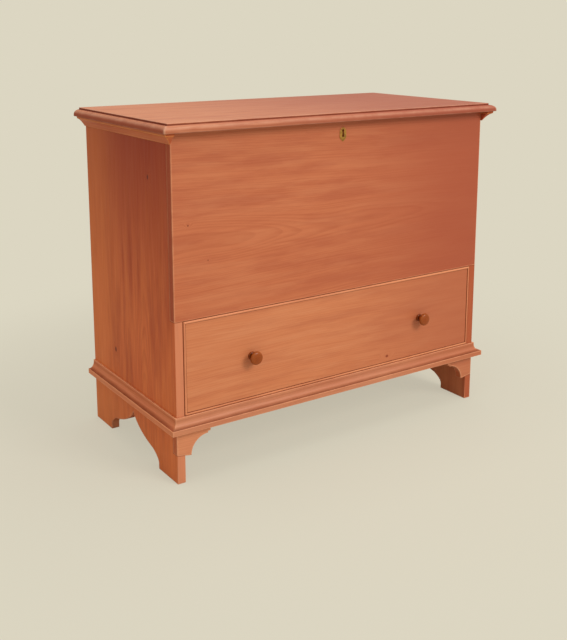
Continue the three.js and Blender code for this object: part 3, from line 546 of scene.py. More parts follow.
def stain_layers(tree, spot, bent, late, tone, figure, fibres):
    """Layers of tone for one board, and its fibres: dark late wood, pale and dark fibres, and two
    sizes of cloud where the stain took warm and pale."""
    fine = add(tree, "VectorMath", {0: bent, 1: FIBRES}, operation="MULTIPLY")
    fibre = add(tree, "TexNoise", {"Vector": fine, "Scale": 1.0, "Detail": 4.0, "Roughness": 0.62})
    layers = [
        (add(tree, "Math", {0: late, 1: figure}, operation="MULTIPLY"), tone["deep"]),
        (add(tree, "MapRange", {0: fibre, 1: 0.5, 2: 0.78, 4: fibres}), tone["pale"]),
        (add(tree, "MapRange", {0: fibre, 1: 0.5, 2: 0.24, 4: fibres}), tone["deep"]),
    ]
    for stretch, seed, tint, most in CLOUDS:
        broad = {0: spot, 1: stretch, 2: (seed, seed, seed)}
        broad = add(tree, "VectorMath", broad, operation="MULTIPLY_ADD")
        soak = add(tree, "TexNoise", {"Vector": broad, "Scale": 1.0, "Detail": 5.0, "Roughness": 0.6})
        share = add(tree, "MapRange", {0: soak, 1: 0.44, 2: 0.66, 4: most}, interpolation_type="SMOOTHSTEP")
        layers.append((share, tone[tint]))
    return layers, fibre


def handling(tree, grain, rub_and_highlight_strength):
    """How far the stain is rubbed off and how thick the dirt and painted shade lie: the two numbers that
    ride on the piece's points, both broken up by one patchy noise."""
    patchy = add(tree, "TexNoise", {"Vector": grain, "Scale": PATCHES, "Detail": 3.0})
    shares = []
    for mark, start, end, least, most in (("wear_and_highlight", 0.3, 0.62, rub_and_highlight_strength * 0.4, rub_and_highlight_strength),
                                          ("grime_and_shade", 0.35, 0.65, 0.9, 0.75)):
        share = add(tree, "MapRange", {0: patchy, 1: start, 2: end, 3: least, 4: most})
        there = add(tree, "Attribute", attribute_name=mark).outputs["Fac"]
        shares.append(add(tree, "Math", {0: share, 1: there}, operation="MULTIPLY"))
    return shares


print("fibres, mm:", round(1000 / FIBRES[1], 1), "patches, mm:", round(1000 / PATCHES))

# %% [markdown]
# One recipe then serves every board, because they differ only in how they were sawn and used: which
# way the grain runs, where the tree's heart lay, and how the board was stained, waxed and worn. Dirt
# is dull and hides the wax, and end grain drinks both wax and stain.

# %% Pine
RELIEF = 0.3 * MM


def pine(name, along, across, heart, tones, figure=0.32, fibres=0.3, knots=(), wax=0.12, gloss=0.25,
         rough=0.5, drift=(), edges=0.0, rub_and_highlight_strength=0.7):
    """Pine sawn with its length on one axis and its width on another. heart is a point on the
    tree's middle line, in the order along, across, through, and so are the knots' middles. figure
    and fibres are how strongly the rings and the fibres show. Each drift is (tone, axis, from, to,
    amount): how far the stain turns to that tone from one place on an axis to another. edges is how
    far the faces that look along the board's width turn to the pale tone, which is painted light on
    the lit front edges of a shaded side. The last argument is how pale the arrises are worn, and how
    bright the highlight painted with the wear is."""
    made, tree = material(name)
    where = add(tree, "TexCoord")
    split = add(tree, "SeparateXYZ", {0: where.outputs["Object"]})
    axes = [along, across, next(axis for axis in "XYZ" if axis not in (along, across))]
    grain = add(tree, "CombineXYZ", {i: split.outputs[axis] for i, axis in enumerate(axes)})
    spot = add(tree, "VectorMath", {0: grain, 1: heart}, operation="SUBTRACT")
    tone = tones_at(tree, where.outputs["Object"], tones)
    places = [(tuple(p - h for p, h in zip(centre, heart)), size) for centre, size in knots]
    bent, late, knot = growth(tree, spot, places)
    layers, fibre = stain_layers(tree, spot, bent, late, tone, figure, fibres)
    for tint, axis, start, end, amount in drift:
        share = add(tree, "MapRange", {0: split.outputs[axis], 1: start, 2: end, 4: amount},
                    interpolation_type="SMOOTHSTEP")
        layers.append((share, tone[tint]))

    # Which way the wood faces: a long edge is painted pale, as painted light, and an end drinks the stain
    # and turns dark.
    facing = add(tree, "SeparateXYZ", {0: where.outputs["Normal"]})
    edge = add(tree, "Math", {0: facing.outputs[across]}, operation="ABSOLUTE")
    edge = add(tree, "MapRange", {0: edge, 1: 0.5, 2: 0.9, 4: edges})
    cross = add(tree, "Math", {0: facing.outputs[along]}, operation="ABSOLUTE")
    cross = add(tree, "MapRange", {0: cross, 1: 0.6, 2: 0.95, 4: 0.75})
    rub_and_highlight_share, dirt_and_shade_share = handling(tree, grain, rub_and_highlight_strength)
    layers += [(edge, tone["worn_and_lit"]), (cross, tone["end"]), (knot, tone["knot"]), (rub_and_highlight_share, tone["worn_and_lit"]),
               (dirt_and_shade_share, tone["grime_and_shade"])]

    # Rubbed and highlighted wood is a little rougher, late wood stands proud, and dirt, painted shade and
    # end grain hide the wax.
    matt = add(tree, "MapRange", {0: fibre, 1: 0.3, 2: 0.7, 3: rough + 0.08, 4: rough - 0.04})
    matt = add(tree, "Math", {0: rub_and_highlight_share, 1: 0.15, 2: matt}, operation="MULTIPLY_ADD")
    height = add(tree, "Math", {0: late, 1: 0.45, 2: fibre}, operation="MULTIPLY_ADD")
    dull = add(tree, "Math", {0: dirt_and_shade_share, 1: 2.5, 2: cross}, operation="MULTIPLY_ADD")
    dull = add(tree, "MapRange", {0: dull, 1: 0.0, 2: 0.7})
    shader = add(tree, "BsdfPrincipled", {
        "Base Color": layered(tree, tone["stain"], layers),
        "Normal": add(tree, "Bump", {"Height": height, "Distance": RELIEF, "Strength": 0.3}),
        "Specular IOR Level": gloss, "Coat Roughness": 0.34,
        "Coat Weight": add(tree, "MapRange", {0: dull, 3: wax, 4: 0.0}),
        "Roughness": add(tree, "Math", {0: dull, 1: 0.3, 2: matt}, operation="MULTIPLY_ADD")})
    add(tree, "OutputMaterial", {"Surface": shader})
    return made


print("relief of the grain, mm:", RELIEF / MM)

# %% [markdown]
# The knobs are maple, turned on a lathe, stained darker than the case and polished by hands. Maple
# is close-grained, so its rings hardly show, and a tree like the pine's would be wasted on it. What
# shows is short fibres, drawn 2.4 mm wide, paler wood where hands have rubbed the head, and dark
# wax in the neck, darkened further as painted shade.

# %% Turned maple
MAPLE_FIBRES, MAPLE_CLOUDS = (420.0, 60.0, 420.0), 70.0


def turned_maple():
    """Close-grained maple whose fibres lie along y, the axis of the lathe."""
    made, tree = material("stained_maple")
    where = add(tree, "TexCoord").outputs["Object"]
    fine = add(tree, "VectorMath", {0: where, 1: MAPLE_FIBRES}, operation="MULTIPLY")
    fibre = add(tree, "TexNoise", {"Vector": fine, "Scale": 1.0, "Detail": 3.0})
    cloud = add(tree, "TexNoise", {"Vector": where, "Scale": MAPLE_CLOUDS, "Detail": 2.0})
    layers = [(cloud, linear("#A04A0E")),
              (add(tree, "MapRange", {0: fibre, 1: 0.35, 2: 0.75, 4: 0.5}), linear("#642806"))]
    # The second mark darkens the neck with wax and painted shade.
    for mark, most, code in (("wear_and_highlight", 0.35, "#B0642A"), ("grime_and_shade", 0.85, "#461804")):
        there = add(tree, "Attribute", attribute_name=mark).outputs["Fac"]
        layers.append((add(tree, "Math", {0: there, 1: most}, operation="MULTIPLY"), linear(code)))
    shader = add(tree, "BsdfPrincipled", {
        "Base Color": layered(tree, linear("#8A3A08"), layers),
        "Normal": add(tree, "Bump", {"Height": fibre, "Distance": 0.1 * MM, "Strength": 0.3}),
        "Specular IOR Level": 0.2, "Coat Weight": 0.15, "Coat Roughness": 0.12,
        "Roughness": add(tree, "MapRange", {0: fibre, 1: 0.0, 2: 1.0, 3: 0.32, 4: 0.45})})
    add(tree, "OutputMaterial", {"Surface": shader})
    return made


MAPLE = turned_maple()
print("material:", MAPLE.name)

# %% [markdown]
# The escutcheon is old sheet brass, cut and filed by hand. Brass that nobody polishes browns where
# fingers leave their salt and keeps a dull yellow gloss elsewhere. The hinges, lock and screws are
# wrought iron, blackened at the forge, with brown rust in the low places and bare grey on edges.
# Both age in clouds about a centimetre wide with spots a fifth of that, so one recipe makes both.

# %% Brass and iron
def old_metal(name, tones, grain, rough, metallic):
    """Metal in three tones: bright, dull where a cloudy noise lies, and spotted where a finer one
    does. grain is the size of the cloud in metres."""
    made, tree = material(name)
    where = add(tree, "TexCoord").outputs["Object"]
    bright, dull, spot = (linear(code) for code in tones)
    cloud = add(tree, "TexNoise", {"Vector": where, "Scale": 1 / grain, "Detail": 4.0})
    speck = add(tree, "TexNoise", {"Vector": where, "Scale": 5 / grain, "Detail": 2.0})
    worn_and_lit = add(tree, "Attribute", attribute_name="wear_and_highlight").outputs["Fac"]
    layers = [(add(tree, "MapRange", {0: cloud, 1: 0.4, 2: 0.62}), dull),
              (add(tree, "MapRange", {0: speck, 1: 0.56, 2: 0.72, 4: 0.8}), spot),
              (add(tree, "Math", {0: worn_and_lit, 1: 0.7}, operation="MULTIPLY"), bright)]
    shader = add(tree, "BsdfPrincipled", {
        "Base Color": layered(tree, bright, layers), "Metallic": metallic,
        "Normal": add(tree, "Bump", {"Height": speck, "Distance": 0.2 * MM, "Strength": 0.4}),
        "Roughness": add(tree, "MapRange", {0: cloud, 1: 0.3, 2: 0.7, 3: rough - 0.08, 4: rough + 0.15})})
    add(tree, "OutputMaterial", {"Surface": shader})
    return made


BRASS = old_metal("unpolished_brass", ("#C2924A", "#94703A", "#6A4A22"), 0.009, 0.36, 1.0)
IRON = old_metal("blackened_iron", ("#5B5753", "#3A3634", "#5A3A26"), 0.012, 0.5, 0.85)
print("materials:", BRASS.name, IRON.name)

# %% [markdown]
# The two sides are single wide boards with the grain upright. Each is sawn through at the foot with
# a pointed arch, which leaves a front and a back foot. The arch is an upright foot, a small quick
# curve at the ankle and a long slow one that steepens up to the point. Half the arch is drawn, and
# turned round for the other half.

# %% Outline of a side
FOOT, ANKLE_RISE, ANKLE_REACH, ANKLE, ARCH = 104, 14, 32, 43, 102
BEND_INSET, BEND_HEIGHT = 28, 62
half_arch = np.vstack([
    [(FOOT, 0)],
    hang((FOOT, ANKLE_RISE), (FOOT, (ANKLE_RISE + ANKLE) / 2), (FOOT + ANKLE_REACH, ANKLE), 12),
    hang((FOOT + ANKLE_REACH, ANKLE), (DEPTH / 2 - BEND_INSET, BEND_HEIGHT), (DEPTH / 2, ARCH), 24)[1:],
])
rear_arch = half_arch[-2::-1] * (-1, 1) + (DEPTH, 0)
side_outline = np.vstack([[(0, 0)], half_arch, rear_arch, [(DEPTH, 0), (DEPTH, CASE_TOP), (0, CASE_TOP)]])
print("points of the outline:", len(side_outline))

# %% [markdown]
# The front edge of each side is notched for the panel, the rail and the bracket, and the inner face
# is grooved for the floor and rabbeted for the back. All of these run through the rounded arris, so
# they are cut out of the finished board. The left side stands in shade and gets a shaded copy of the
# stain, a stronger red than the right side's: painted shade colour.

# %% Side boards
BRACKET_LOW, BRACKET_RISE, BRACKET_LEG = 68, 7, 40
CASE_EASE = 1.5
back_low, back_high = case_box("back_board_lower")
floor_low, floor_high = case_box("chest_floor")


def side_board(name, sign):
    """One side: sign -1 is the left and 1 the right. The rail's notch slopes with the bracket."""
    piece = board(f"{name}_pine", side_outline, (INNER, HALF), lambda y, z, x: (sign * x, y, z), CASE_EASE)
    outer, inner = sign * (HALF + PAST), sign * (INNER - PAST)
    top, panel_foot = rail_high[2] + GAP, PANEL_FOOT - GAP
    low, high = (BRACKET_LOW + BRACKET_RISE - step * BRACKET_RISE / BRACKET_LEG - GAP
                 for step in (-PAST, BOARD + PAST))
    carve(piece, [
        wedge("rail notch", [(outer, low), (inner, high), (inner, top), (outer, top)], -PAST, BOARD + GAP),
        block("panel notch", sorted((outer, inner)), (-PAST, BOARD + GAP), (panel_foot, CASE_TOP + PAST)),
        block("floor groove", sorted((inner, sign * floor_high[0])), (floor_low[1], floor_high[1]),
              loose(floor_low, floor_high, 2)),
        block("back rabbet", sorted((inner, sign * (back_high[0] + GAP))), (back_low[1] - GAP, DEPTH + PAST),
              (back_low[2] - GAP, CASE_TOP + PAST)),
    ])
    return piece


# A shaded copy of the stain for the left side: stronger and redder, painted for the colour that shade gives
# it.
SHADED = {**STAINED, "stain": "#D46A38", "deep": "#AE4A22", "pale": "#E88442", "warm": "#983218",
          "worn_and_lit": "#CC8A68"}
SIDE_DRIFT = [("warm", "Z", 0.3, 0.9, 0.85), ("pale", "Z", 0.2, 0.03, 0.3), ("pale", "Y", 0.0, 0.24, 0.4)]
LEFT_KNOTS = [((0.249, 0.112, -0.5), 0.007), ((0.753, -0.114, -0.5), 0.006)]
# The left side's edges setting paints its front and back edges pale: painted light where the lit front meets
# the shaded side.
SIDE_PINE = {
    "left": pine("left_side_pine", "Z", "Y", (0.3, -0.05, -0.56), SHADED, knots=LEFT_KNOTS,
                 edges=0.65, gloss=0.1, wax=0.04, drift=SIDE_DRIFT),
    "right": pine("right_side_pine", "Z", "Y", (-0.2, 0.07, 0.57), STAINED, gloss=0.1, wax=0.04,
                  drift=SIDE_DRIFT + [("warm", "Y", -0.22, -0.237, 0.65)]),
}
for name, sign in SIDES:
    node = f"side_board_{name}"
    fit(side_board(node, sign), "case", "stained_pine", SIDE_PINE[name], node)

# %% [markdown]
# The front is one board laid across the edges of both sides, grain level, so its end grain shows on
# the sides of the chest as a narrow upright band. A mortise is chopped into its back for the lock,
# and the keyhole is bored twice and sawn through between the holes. Two dark nail heads near its
# left end are drawn as very small knots.

# %% Front panel
lock_low, lock_high = case_box("lock_case")
escutcheon_low, escutcheon_high = case_box("keyhole_escutcheon")
KEYHOLE_RADIUS, KEYHOLE_WAIST, KEYHOLE_SPACING, KEYHOLE_RISE = 3.4, 4.5, 13.5, 3
KEYHOLE_HEIGHT = (escutcheon_low[2] + escutcheon_high[2]) / 2 + KEYHOLE_RISE
IRON_PLATE, LOCK_BOX = 2, 62  # the hinge leaves are as thick as the lock's plate
FRONT_PINE = pine("front_panel_pine", "X", "Z", (-0.2, 0.62, -0.29), STAINED, fibres=0.24,
                  drift=[("warm", "X", -0.15, 0.5, 0.9)],
                  knots=[((-0.458, 0.649, -0.2375), 0.0024), ((-0.405, 0.558, -0.2375), 0.0018)])


def keyhole():
    """Two round holes, one over the other, joined by a straight slot."""
    half_slot = np.degrees(np.arcsin(KEYHOLE_WAIST / 2 / KEYHOLE_RADIUS))
    return np.vstack([
        bow((0, KEYHOLE_HEIGHT + way * KEYHOLE_SPACING / 2), (KEYHOLE_RADIUS, KEYHOLE_RADIUS),
            start + half_slot, start + 360 - half_slot, 20) for way, start in ((1, -90), (-1, 90))])


front_outline = [(-HALF, PANEL_FOOT), (HALF, PANEL_FOOT), (HALF, CASE_TOP), (-HALF, CASE_TOP)]
front = board("front_panel_pine", front_outline, (0, BOARD), lambda x, z, y: (x, y, z), CASE_EASE)
plate_side, box_side = lock_high[0] + GAP, LOCK_BOX / 2 + GAP
carve(front, [
    block("plate bed", (-plate_side, plate_side), (BOARD - IRON_PLATE - GAP, BOARD + PAST),
          (lock_low[2] - GAP, CASE_TOP + PAST)),
    block("lock bed", (-box_side, box_side), (lock_low[1] - GAP, BOARD + PAST),
          (lock_low[2] + GAP, CASE_TOP + PAST)),
    wedge("keyway", keyhole(), -PAST, BOARD),
])
fit(front, "case", "stained_pine", FRONT_PINE, "front_panel")

# %% [markdown]
# Two small brackets brace the front feet. Each is sawn from a short length of board, with a quarter
# curve under it and a little square step at its tip, and stands under the rail.

# %% Front brackets
BRACKET_TOP, BRACKET_STEP, BRACKET_TIP = 115.5, 4.5, 7
bracket_low, bracket_high = case_box("front_bracket_right")
BRACKET_LENGTH = bracket_high[0] - bracket_low[0]
curve_end = BRACKET_LENGTH - BRACKET_TIP
bracket_outline = np.vstack([
    [(0, rail_low[2]), (0, BRACKET_LOW + BRACKET_RISE)],
    bow((curve_end, BRACKET_LOW), (curve_end - BRACKET_LEG, BRACKET_TOP - BRACKET_LOW), 180, 90, 24),
    [(curve_end, BRACKET_TOP + BRACKET_STEP), (BRACKET_LENGTH, BRACKET_TOP + BRACKET_STEP),
     (BRACKET_LENGTH, rail_low[2])],
])
BRACKET_PINE = pine("bracket_pine", "X", "Z", (0.3, 0.02, -0.32),
                    {**LIGHTER, "stain": "#D5885E", "deep": "#BD6C44"}, drift=[("warm", "X", 0.3, 0.5, 0.6)])
for name, sign in SIDES:
    piece = board(f"front_bracket_{name}_pine", bracket_outline, (0, BOARD),
                  lambda a, z, y: (sign * (HALF - a), y, z), rim=4)
    fit(piece, "case", "stained_pine", BRACKET_PINE, f"front_bracket_{name}")

# %% [markdown]
# The base moulding covers the joint between the case and its feet: a small bead, a cove and a plain
# fillet. It is planed along one length of pine, cut at 45 degrees and nailed on in three pieces. A
# profile carried between two mitre planes does the same.

# %% Base moulding
MOULDING_TOP, MOULDING_FOOT, REACH, FILLET, STEP, BEAD = 175, 137.5, 21, 13.5, 3.5, 4.5
SHELF, CROWN = MOULDING_FOOT + FILLET, MOULDING_TOP - BEAD
# Dust and painted shade lie on the shelf above the fillet, and painted shade darkens the top of the cove
# under the bead.
SHELF_DUST_AND_SHADE, CROWN_SHADE = (5, 0.7), (12, 0.3)  # how far the dust reaches, and how thick it lies
moulding = np.vstack([
    [(0, MOULDING_FOOT), (REACH, MOULDING_FOOT), (REACH, SHELF)],
    bow((REACH - STEP, CROWN), (REACH - STEP - BEAD, CROWN - SHELF), 270, 180, 16),
    [(BEAD, MOULDING_TOP), (0, MOULDING_TOP)],
])


def fading(away, reach, most):
    """The most at 0, nothing from reach on, and a straight line between them."""
    return np.clip(1 - away / reach, 0, 1) * most


def cove_dust_and_shade(u, h):
    """Dust and painted shade lie where the cove meets the fillet and thin out upwards, and painted
    shade under the bead darkens the top of the cove and thins out downwards."""
    low = np.where((h > SHELF - 0.1) & (u < REACH - 1), fading(h - SHELF, *SHELF_DUST_AND_SHADE), 0)
    return np.maximum(low, np.where(h < CROWN, fading(CROWN - h, *CROWN_SHADE), 0))


FRONT_TONES = {**LIGHTER, "stain": "#C27C5A", "grime_and_shade": "#6A3418"}
# The side lengths get a stronger, paler copy of the stain than the front length, painted for the shade that
# the left side stands in.
SIDE_TONES = {**STAINED, "stain": "#DC8053", "deep": "#B35A32", "pale": "#E29868", "warm": "#B65C3A",
              "worn_and_lit": "#F0A878"}
MOULDING_PINE = {
    "front": pine("front_moulding_pine", "X", "Z", (0.1, 0.12, -0.33), FRONT_TONES, figure=0.2, rub_and_highlight_strength=0.75,
                  gloss=0.15, drift=[("warm", "X", 0.1, 0.5, 0.6)]),
    "side": pine("side_moulding_pine", "Y", "Z", (0.1, 0.11, -0.58), SIDE_TONES, figure=0.2, rub_and_highlight_strength=0.9,
                 wax=0.04, gloss=0.1),
}
piece = length_of("base_moulding_front_pine", moulding, lambda u, z: (-HALF - u, -u, z),
                  lambda u, z: (HALF + u, -u, z), grime_and_shade=cove_dust_and_shade)
fit(piece, "case", "stained_pine", MOULDING_PINE["front"], "base_moulding_front")
for name, sign in SIDES:
    piece = length_of(f"base_moulding_{name}_pine", moulding, lambda u, z: (sign * (HALF + u), GAP - u, z),
                      lambda u, z: (sign * (HALF + u), DEPTH, z), grime_and_shade=cove_dust_and_shade)
    fit(piece, "case", "stained_pine", MOULDING_PINE["side"], f"base_moulding_{name}")
print("moulding profile points:", len(moulding))

# %% [markdown]
# The lid is one wide board. Its front and both ends are worked with a thumbnail moulding: a step
# down from the top, then a quarter ellipse that runs out to a blunt nose. Its plan grows and
# shrinks with the profile, so it is laid up as a stack of rings, with its corners worn round.

# %% Lid board
lid_low, lid_high = case_box("lid_board")
OVERHANG, NOSE, QUIRK, MARGIN = lid_high[0] - HALF, 5, 5, 15
LID = lid_high[2] - lid_low[2]
# The rub on the thumbnail's shoulder is also its painted highlight.
WEAR_AND_HIGHLIGHT_HEIGHT, WEAR_AND_HIGHLIGHT_SPREAD, WEAR_AND_HIGHLIGHT_MOST = 0.55, 0.14, 0.65  # the first two as shares of the lid's thickness
# Painted shade: the quirk is darkened as shade as well as wax, the lowest arris is a painted shadow line
# under the lid, and the moulded edge is darker towards its bottom.
UNDER_LID_PAINTED_SHADOW, EDGE_DARKENING, QUIRK_WAX_AND_SHADE = 0.7, (0.2, 0.28), 0.9
lid_profile = np.vstack([
    [(0, 0), (OVERHANG, 0)],
    bow((MARGIN, NOSE), (OVERHANG - MARGIN, LID - QUIRK - NOSE), 0, 90, 24),
    [(MARGIN, LID), (0, LID)],
]) + (0, lid_low[2])


def thumb_wear_and_highlight(u, h):
    """The thumbnail is rubbed most on its shoulder, about halfway up, and less above and below by a
    bell curve. The same pale band is its painted highlight."""
    height = (h - lid_low[2]) / LID
    return np.where(u > MARGIN + 0.5, np.exp(-((height - WEAR_AND_HIGHLIGHT_HEIGHT) / WEAR_AND_HIGHLIGHT_SPREAD) ** 2) * WEAR_AND_HIGHLIGHT_MOST, 0)


def lid_edge_dirt_and_shade(u, h):
    """Old wax fills the foot of the step down from the lid's top, darkened further as painted shade. The
    moulded edge is darkened a little, a little more below 7 mm, and most on its lowest arris, which is a
    painted shadow line under the lid."""
    height = h - lid_low[2]
    step = (height > LID - QUIRK - 1) & (height < LID - 1.5) & (u < MARGIN + 3)
    edge = np.where(height < 1.5, UNDER_LID_PAINTED_SHADOW, np.clip(1.3 - height / 7, *EDGE_DARKENING))
    return np.where(step, QUIRK_WAX_AND_SHADE, np.where(u > MARGIN + 0.5, edge, 0))


LID_TONES = {**STAINED, "stain": "#C47C58", "warm": "#9E4E38", "worn_and_lit": "#CE9C7E", "grime_and_shade": "#742A12"}
LID_PINE = pine("lid_pine", "X", "Y", (0.1, -0.08, 0.82), LID_TONES, wax=0.04,
                drift=[("warm", "X", -0.55, 0.4, 0.9)])
lid = edged("lid_board_pine", lid_profile,
            lambda u: [(-HALF - u, lid_high[1]), (HALF + u, lid_high[1]), (HALF + u, -u), (-HALF - u, -u)],
            (1, 1, 1, 1), wear_and_highlight=thumb_wear_and_highlight, grime_and_shade=lid_edge_dirt_and_shade)
print("lid, mm:", np.round((2 * (HALF + OVERHANG), lid_high[1] + OVERHANG, LID), 1))

# %% [markdown]
# The hinges and the lock's catch are let into the underside of the lid, flush with it, so that the
# lid closes tight. Their beds are measured from the ironwork's own solids.

# %% Beds in the lid
KNUCKLE_ROOM = 1
below, behind = lid_low[2] - PAST, lid_high[1] + PAST
beds = []
for name, _ in SIDES:
    leaf_low, leaf_high = case_box(f"hinge_lid_leaf_{name}")
    pin_low, pin_high = case_box(f"hinge_pin_{name}")
    centre = (pin_low + pin_high) / 2
    room = leaf_high[1] - centre[1] + KNUCKLE_ROOM
    beds.append(block("leaf bed", loose(leaf_low, leaf_high, 0), (leaf_low[1] - GAP, behind),
                      (below, lid_low[2] + IRON_PLATE + GAP)))
    beds.append(block("knuckle bed", loose(leaf_low, leaf_high, 0), (centre[1] - room, behind),
                      (below, centre[2] + room)))
catch_low, catch_high = case_box("lid_catch")
beds.append(block("catch bed", loose(catch_low, catch_high, 0), loose(catch_low, catch_high, 1),
                  (below, catch_high[2] + GAP)))
carve(lid, beds, crease=30)
fit(lid, "lid", "stained_pine", LID_PINE, "lid_board")
print("beds in the lid:", len(beds))

# %% [markdown]
# A cleat under each end keeps the wide lid flat and closes the gap beside the case. It is a short
# moulding with a narrow lip and a hollow below it, and its front end is shaped to the same profile.
# So it is laid up in rings as the lid is, from a plan that has only its two outer sides moulded.

# %% Lid cleats
cleat_low, cleat_high = case_box("lid_cleat_right")
CLEAT, CLEAT_GAP, CLEAT_DROP = cleat_high[0] - HALF, cleat_low[0] - HALF, cleat_high[2] - cleat_low[2]
LIP, LIP_TAPER, COVE_REACH, COVE_TOP, TOE, SAG = 6, 1, 18, 9, 3, 1.5
cleat_profile = np.vstack([
    [(CLEAT_GAP, 0), (CLEAT, 0), (CLEAT - LIP_TAPER, -LIP)],
    hang((COVE_REACH, -COVE_TOP), ((COVE_REACH + TOE) / 2 - SAG, SAG - (COVE_TOP + CLEAT_DROP) / 2),
         (TOE, -CLEAT_DROP)),
    [(CLEAT_GAP, -CLEAT_DROP)],
]) + (0, cleat_high[2])
# The cleats' stain is paler than the lid's, painted light for the shade they stand in, and the right cleat
# turns to the dark end tone as a painted shadow under the lid.
CLEAT_TONES = {**STAINED, "stain": "#CC744E", "deep": "#B45A30", "pale": "#DC8450", "warm": "#B85838",
               "worn_and_lit": "#E8A258"}
CLEAT_PINE = pine("cleat_pine", "Y", "X", (0.0, 0.02, 0.8), CLEAT_TONES, figure=0.2, wax=0.0, gloss=0.05,
                  drift=[("end", "X", 0.3, 0.5, 0.85)])
for name, sign in SIDES:
    inner = sign * (HALF + CLEAT_GAP)
    piece = edged(f"lid_cleat_{name}_pine", cleat_profile,
                  lambda u: [(inner, cleat_high[1]), (sign * (HALF + u), cleat_high[1]),
                             (sign * (HALF + u), -u), (inner, -u)], (0, 1, 1, 0), rim=1.5, corner=0.6)
    fit(piece, "lid", "stained_pine", CLEAT_PINE, f"lid_cleat_{name}")

# %% [markdown]
# A cock bead is a thin strip let into the edge of a drawer front. It stands a little proud, with a
# rounded nose, so that the edge isn't chipped when the drawer is pushed home. It could be raised on
# the drawer front itself, but strips of their own show the mitres. Four of them frame the drawer
# here, and a fine dark line of wax and painted shade marks each joint.

# %% Cock beads
bead_low, bead_high = case_box("drawer_bead_top")
DRAWER_HALF, BEAD_BACK, DRAWER_TOP = bead_high
DRAWER_FOOT = case_box("drawer_bead_bottom")[0][2]
BEAD_WIDE, PROUD, BEAD_NOSE = bead_high[2] - bead_low[2], -bead_low[1], 1.4
bead_profile = np.vstack([
    [(0, BEAD_BACK)],
    bow((BEAD_WIDE / 2, BEAD_NOSE - PROUD), (BEAD_WIDE / 2, BEAD_NOSE), 180, 360, 14),
    [(BEAD_WIDE, BEAD_BACK)],
])


def bead_wax_and_shade(w, y):
    """The bead is darkened over the half millimetre next to the drawer front, as painted shade in the
    joint, and over the inner fifth of its width, where wax fills the quirk and shade is painted too."""
    return np.maximum(np.clip((y + 0.5) / 0.5, 0, 1), np.clip(w / BEAD_WIDE * 6 - 4.8, 0, 1))


DRAWER_PINE = pine("drawer_front_pine", "X", "Z", (0.25, 0.18, -0.31), LIGHTER, fibres=0.24,
                   knots=[((0.166, 0.199, -0.2375), 0.005)], drift=[("warm", "X", -0.1, 0.5, 0.8)])
BEAD_TONES = {**LIGHTER, "stain": "#DC8C60", "deep": "#C0703F", "grime_and_shade": "#7A2E12"}
LEVEL_BEAD = pine("level_bead_pine", "X", "Z", (0.2, 0.2, -0.3), BEAD_TONES, figure=0.2)
UPRIGHT_BEAD = pine("upright_bead_pine", "Z", "X", (0.2, 0.3, -0.3), BEAD_TONES, figure=0.2)
bead_settings = {"ease": 0.3, "rim": 0.6, "grime_and_shade": bead_wax_and_shade, "mitre_wear": 0.0}
for name, edge, way in (("top", DRAWER_TOP, -1), ("bottom", DRAWER_FOOT, 1)):
    piece = length_of(f"drawer_bead_{name}_pine", bead_profile,
                      lambda w, y: (w - DRAWER_HALF, y, edge + way * w),
                      lambda w, y: (DRAWER_HALF - w, y, edge + way * w), **bead_settings)
    fit(piece, "drawer", "drawer_pine", LEVEL_BEAD, f"drawer_bead_{name}")
for name, sign in SIDES:
    piece = length_of(f"drawer_bead_{name}_pine", bead_profile,
                      lambda w, y: (sign * (DRAWER_HALF - w), y, DRAWER_FOOT + w + GAP),
                      lambda w, y: (sign * (DRAWER_HALF - w), y, DRAWER_TOP - w - GAP), **bead_settings)
    fit(piece, "drawer", "drawer_pine", UPRIGHT_BEAD, f"drawer_bead_{name}")
print("drawer front, mm:", np.round((2 * DRAWER_HALF, DRAWER_TOP - DRAWER_FOOT), 1))

# %% [markdown]
# Each knob is turned in one piece with the spigot that holds it: a collar against the drawer, a
# waisted neck and a flattened head. Its profile is drawn once and carried round its axis, as the
# lathe does it. A Screw modifier would do the same, but would leave no mark of wear.

# %% Knobs
COLLAR, COLLAR_THICK, NECK, HEAD, HEAD_THICK, DISH, SPIGOT, AROUND = 11, 5, 7, 17.5, 13, 4, 5, 64
COLLAR_SINK, COLLAR_ARRIS, COLLAR_FOOT, COLLAR_SHOULDER, BULGE, RUB_WIDTH = 0.1, 0.6, 0.5, 1.5, 0.3, 2.5


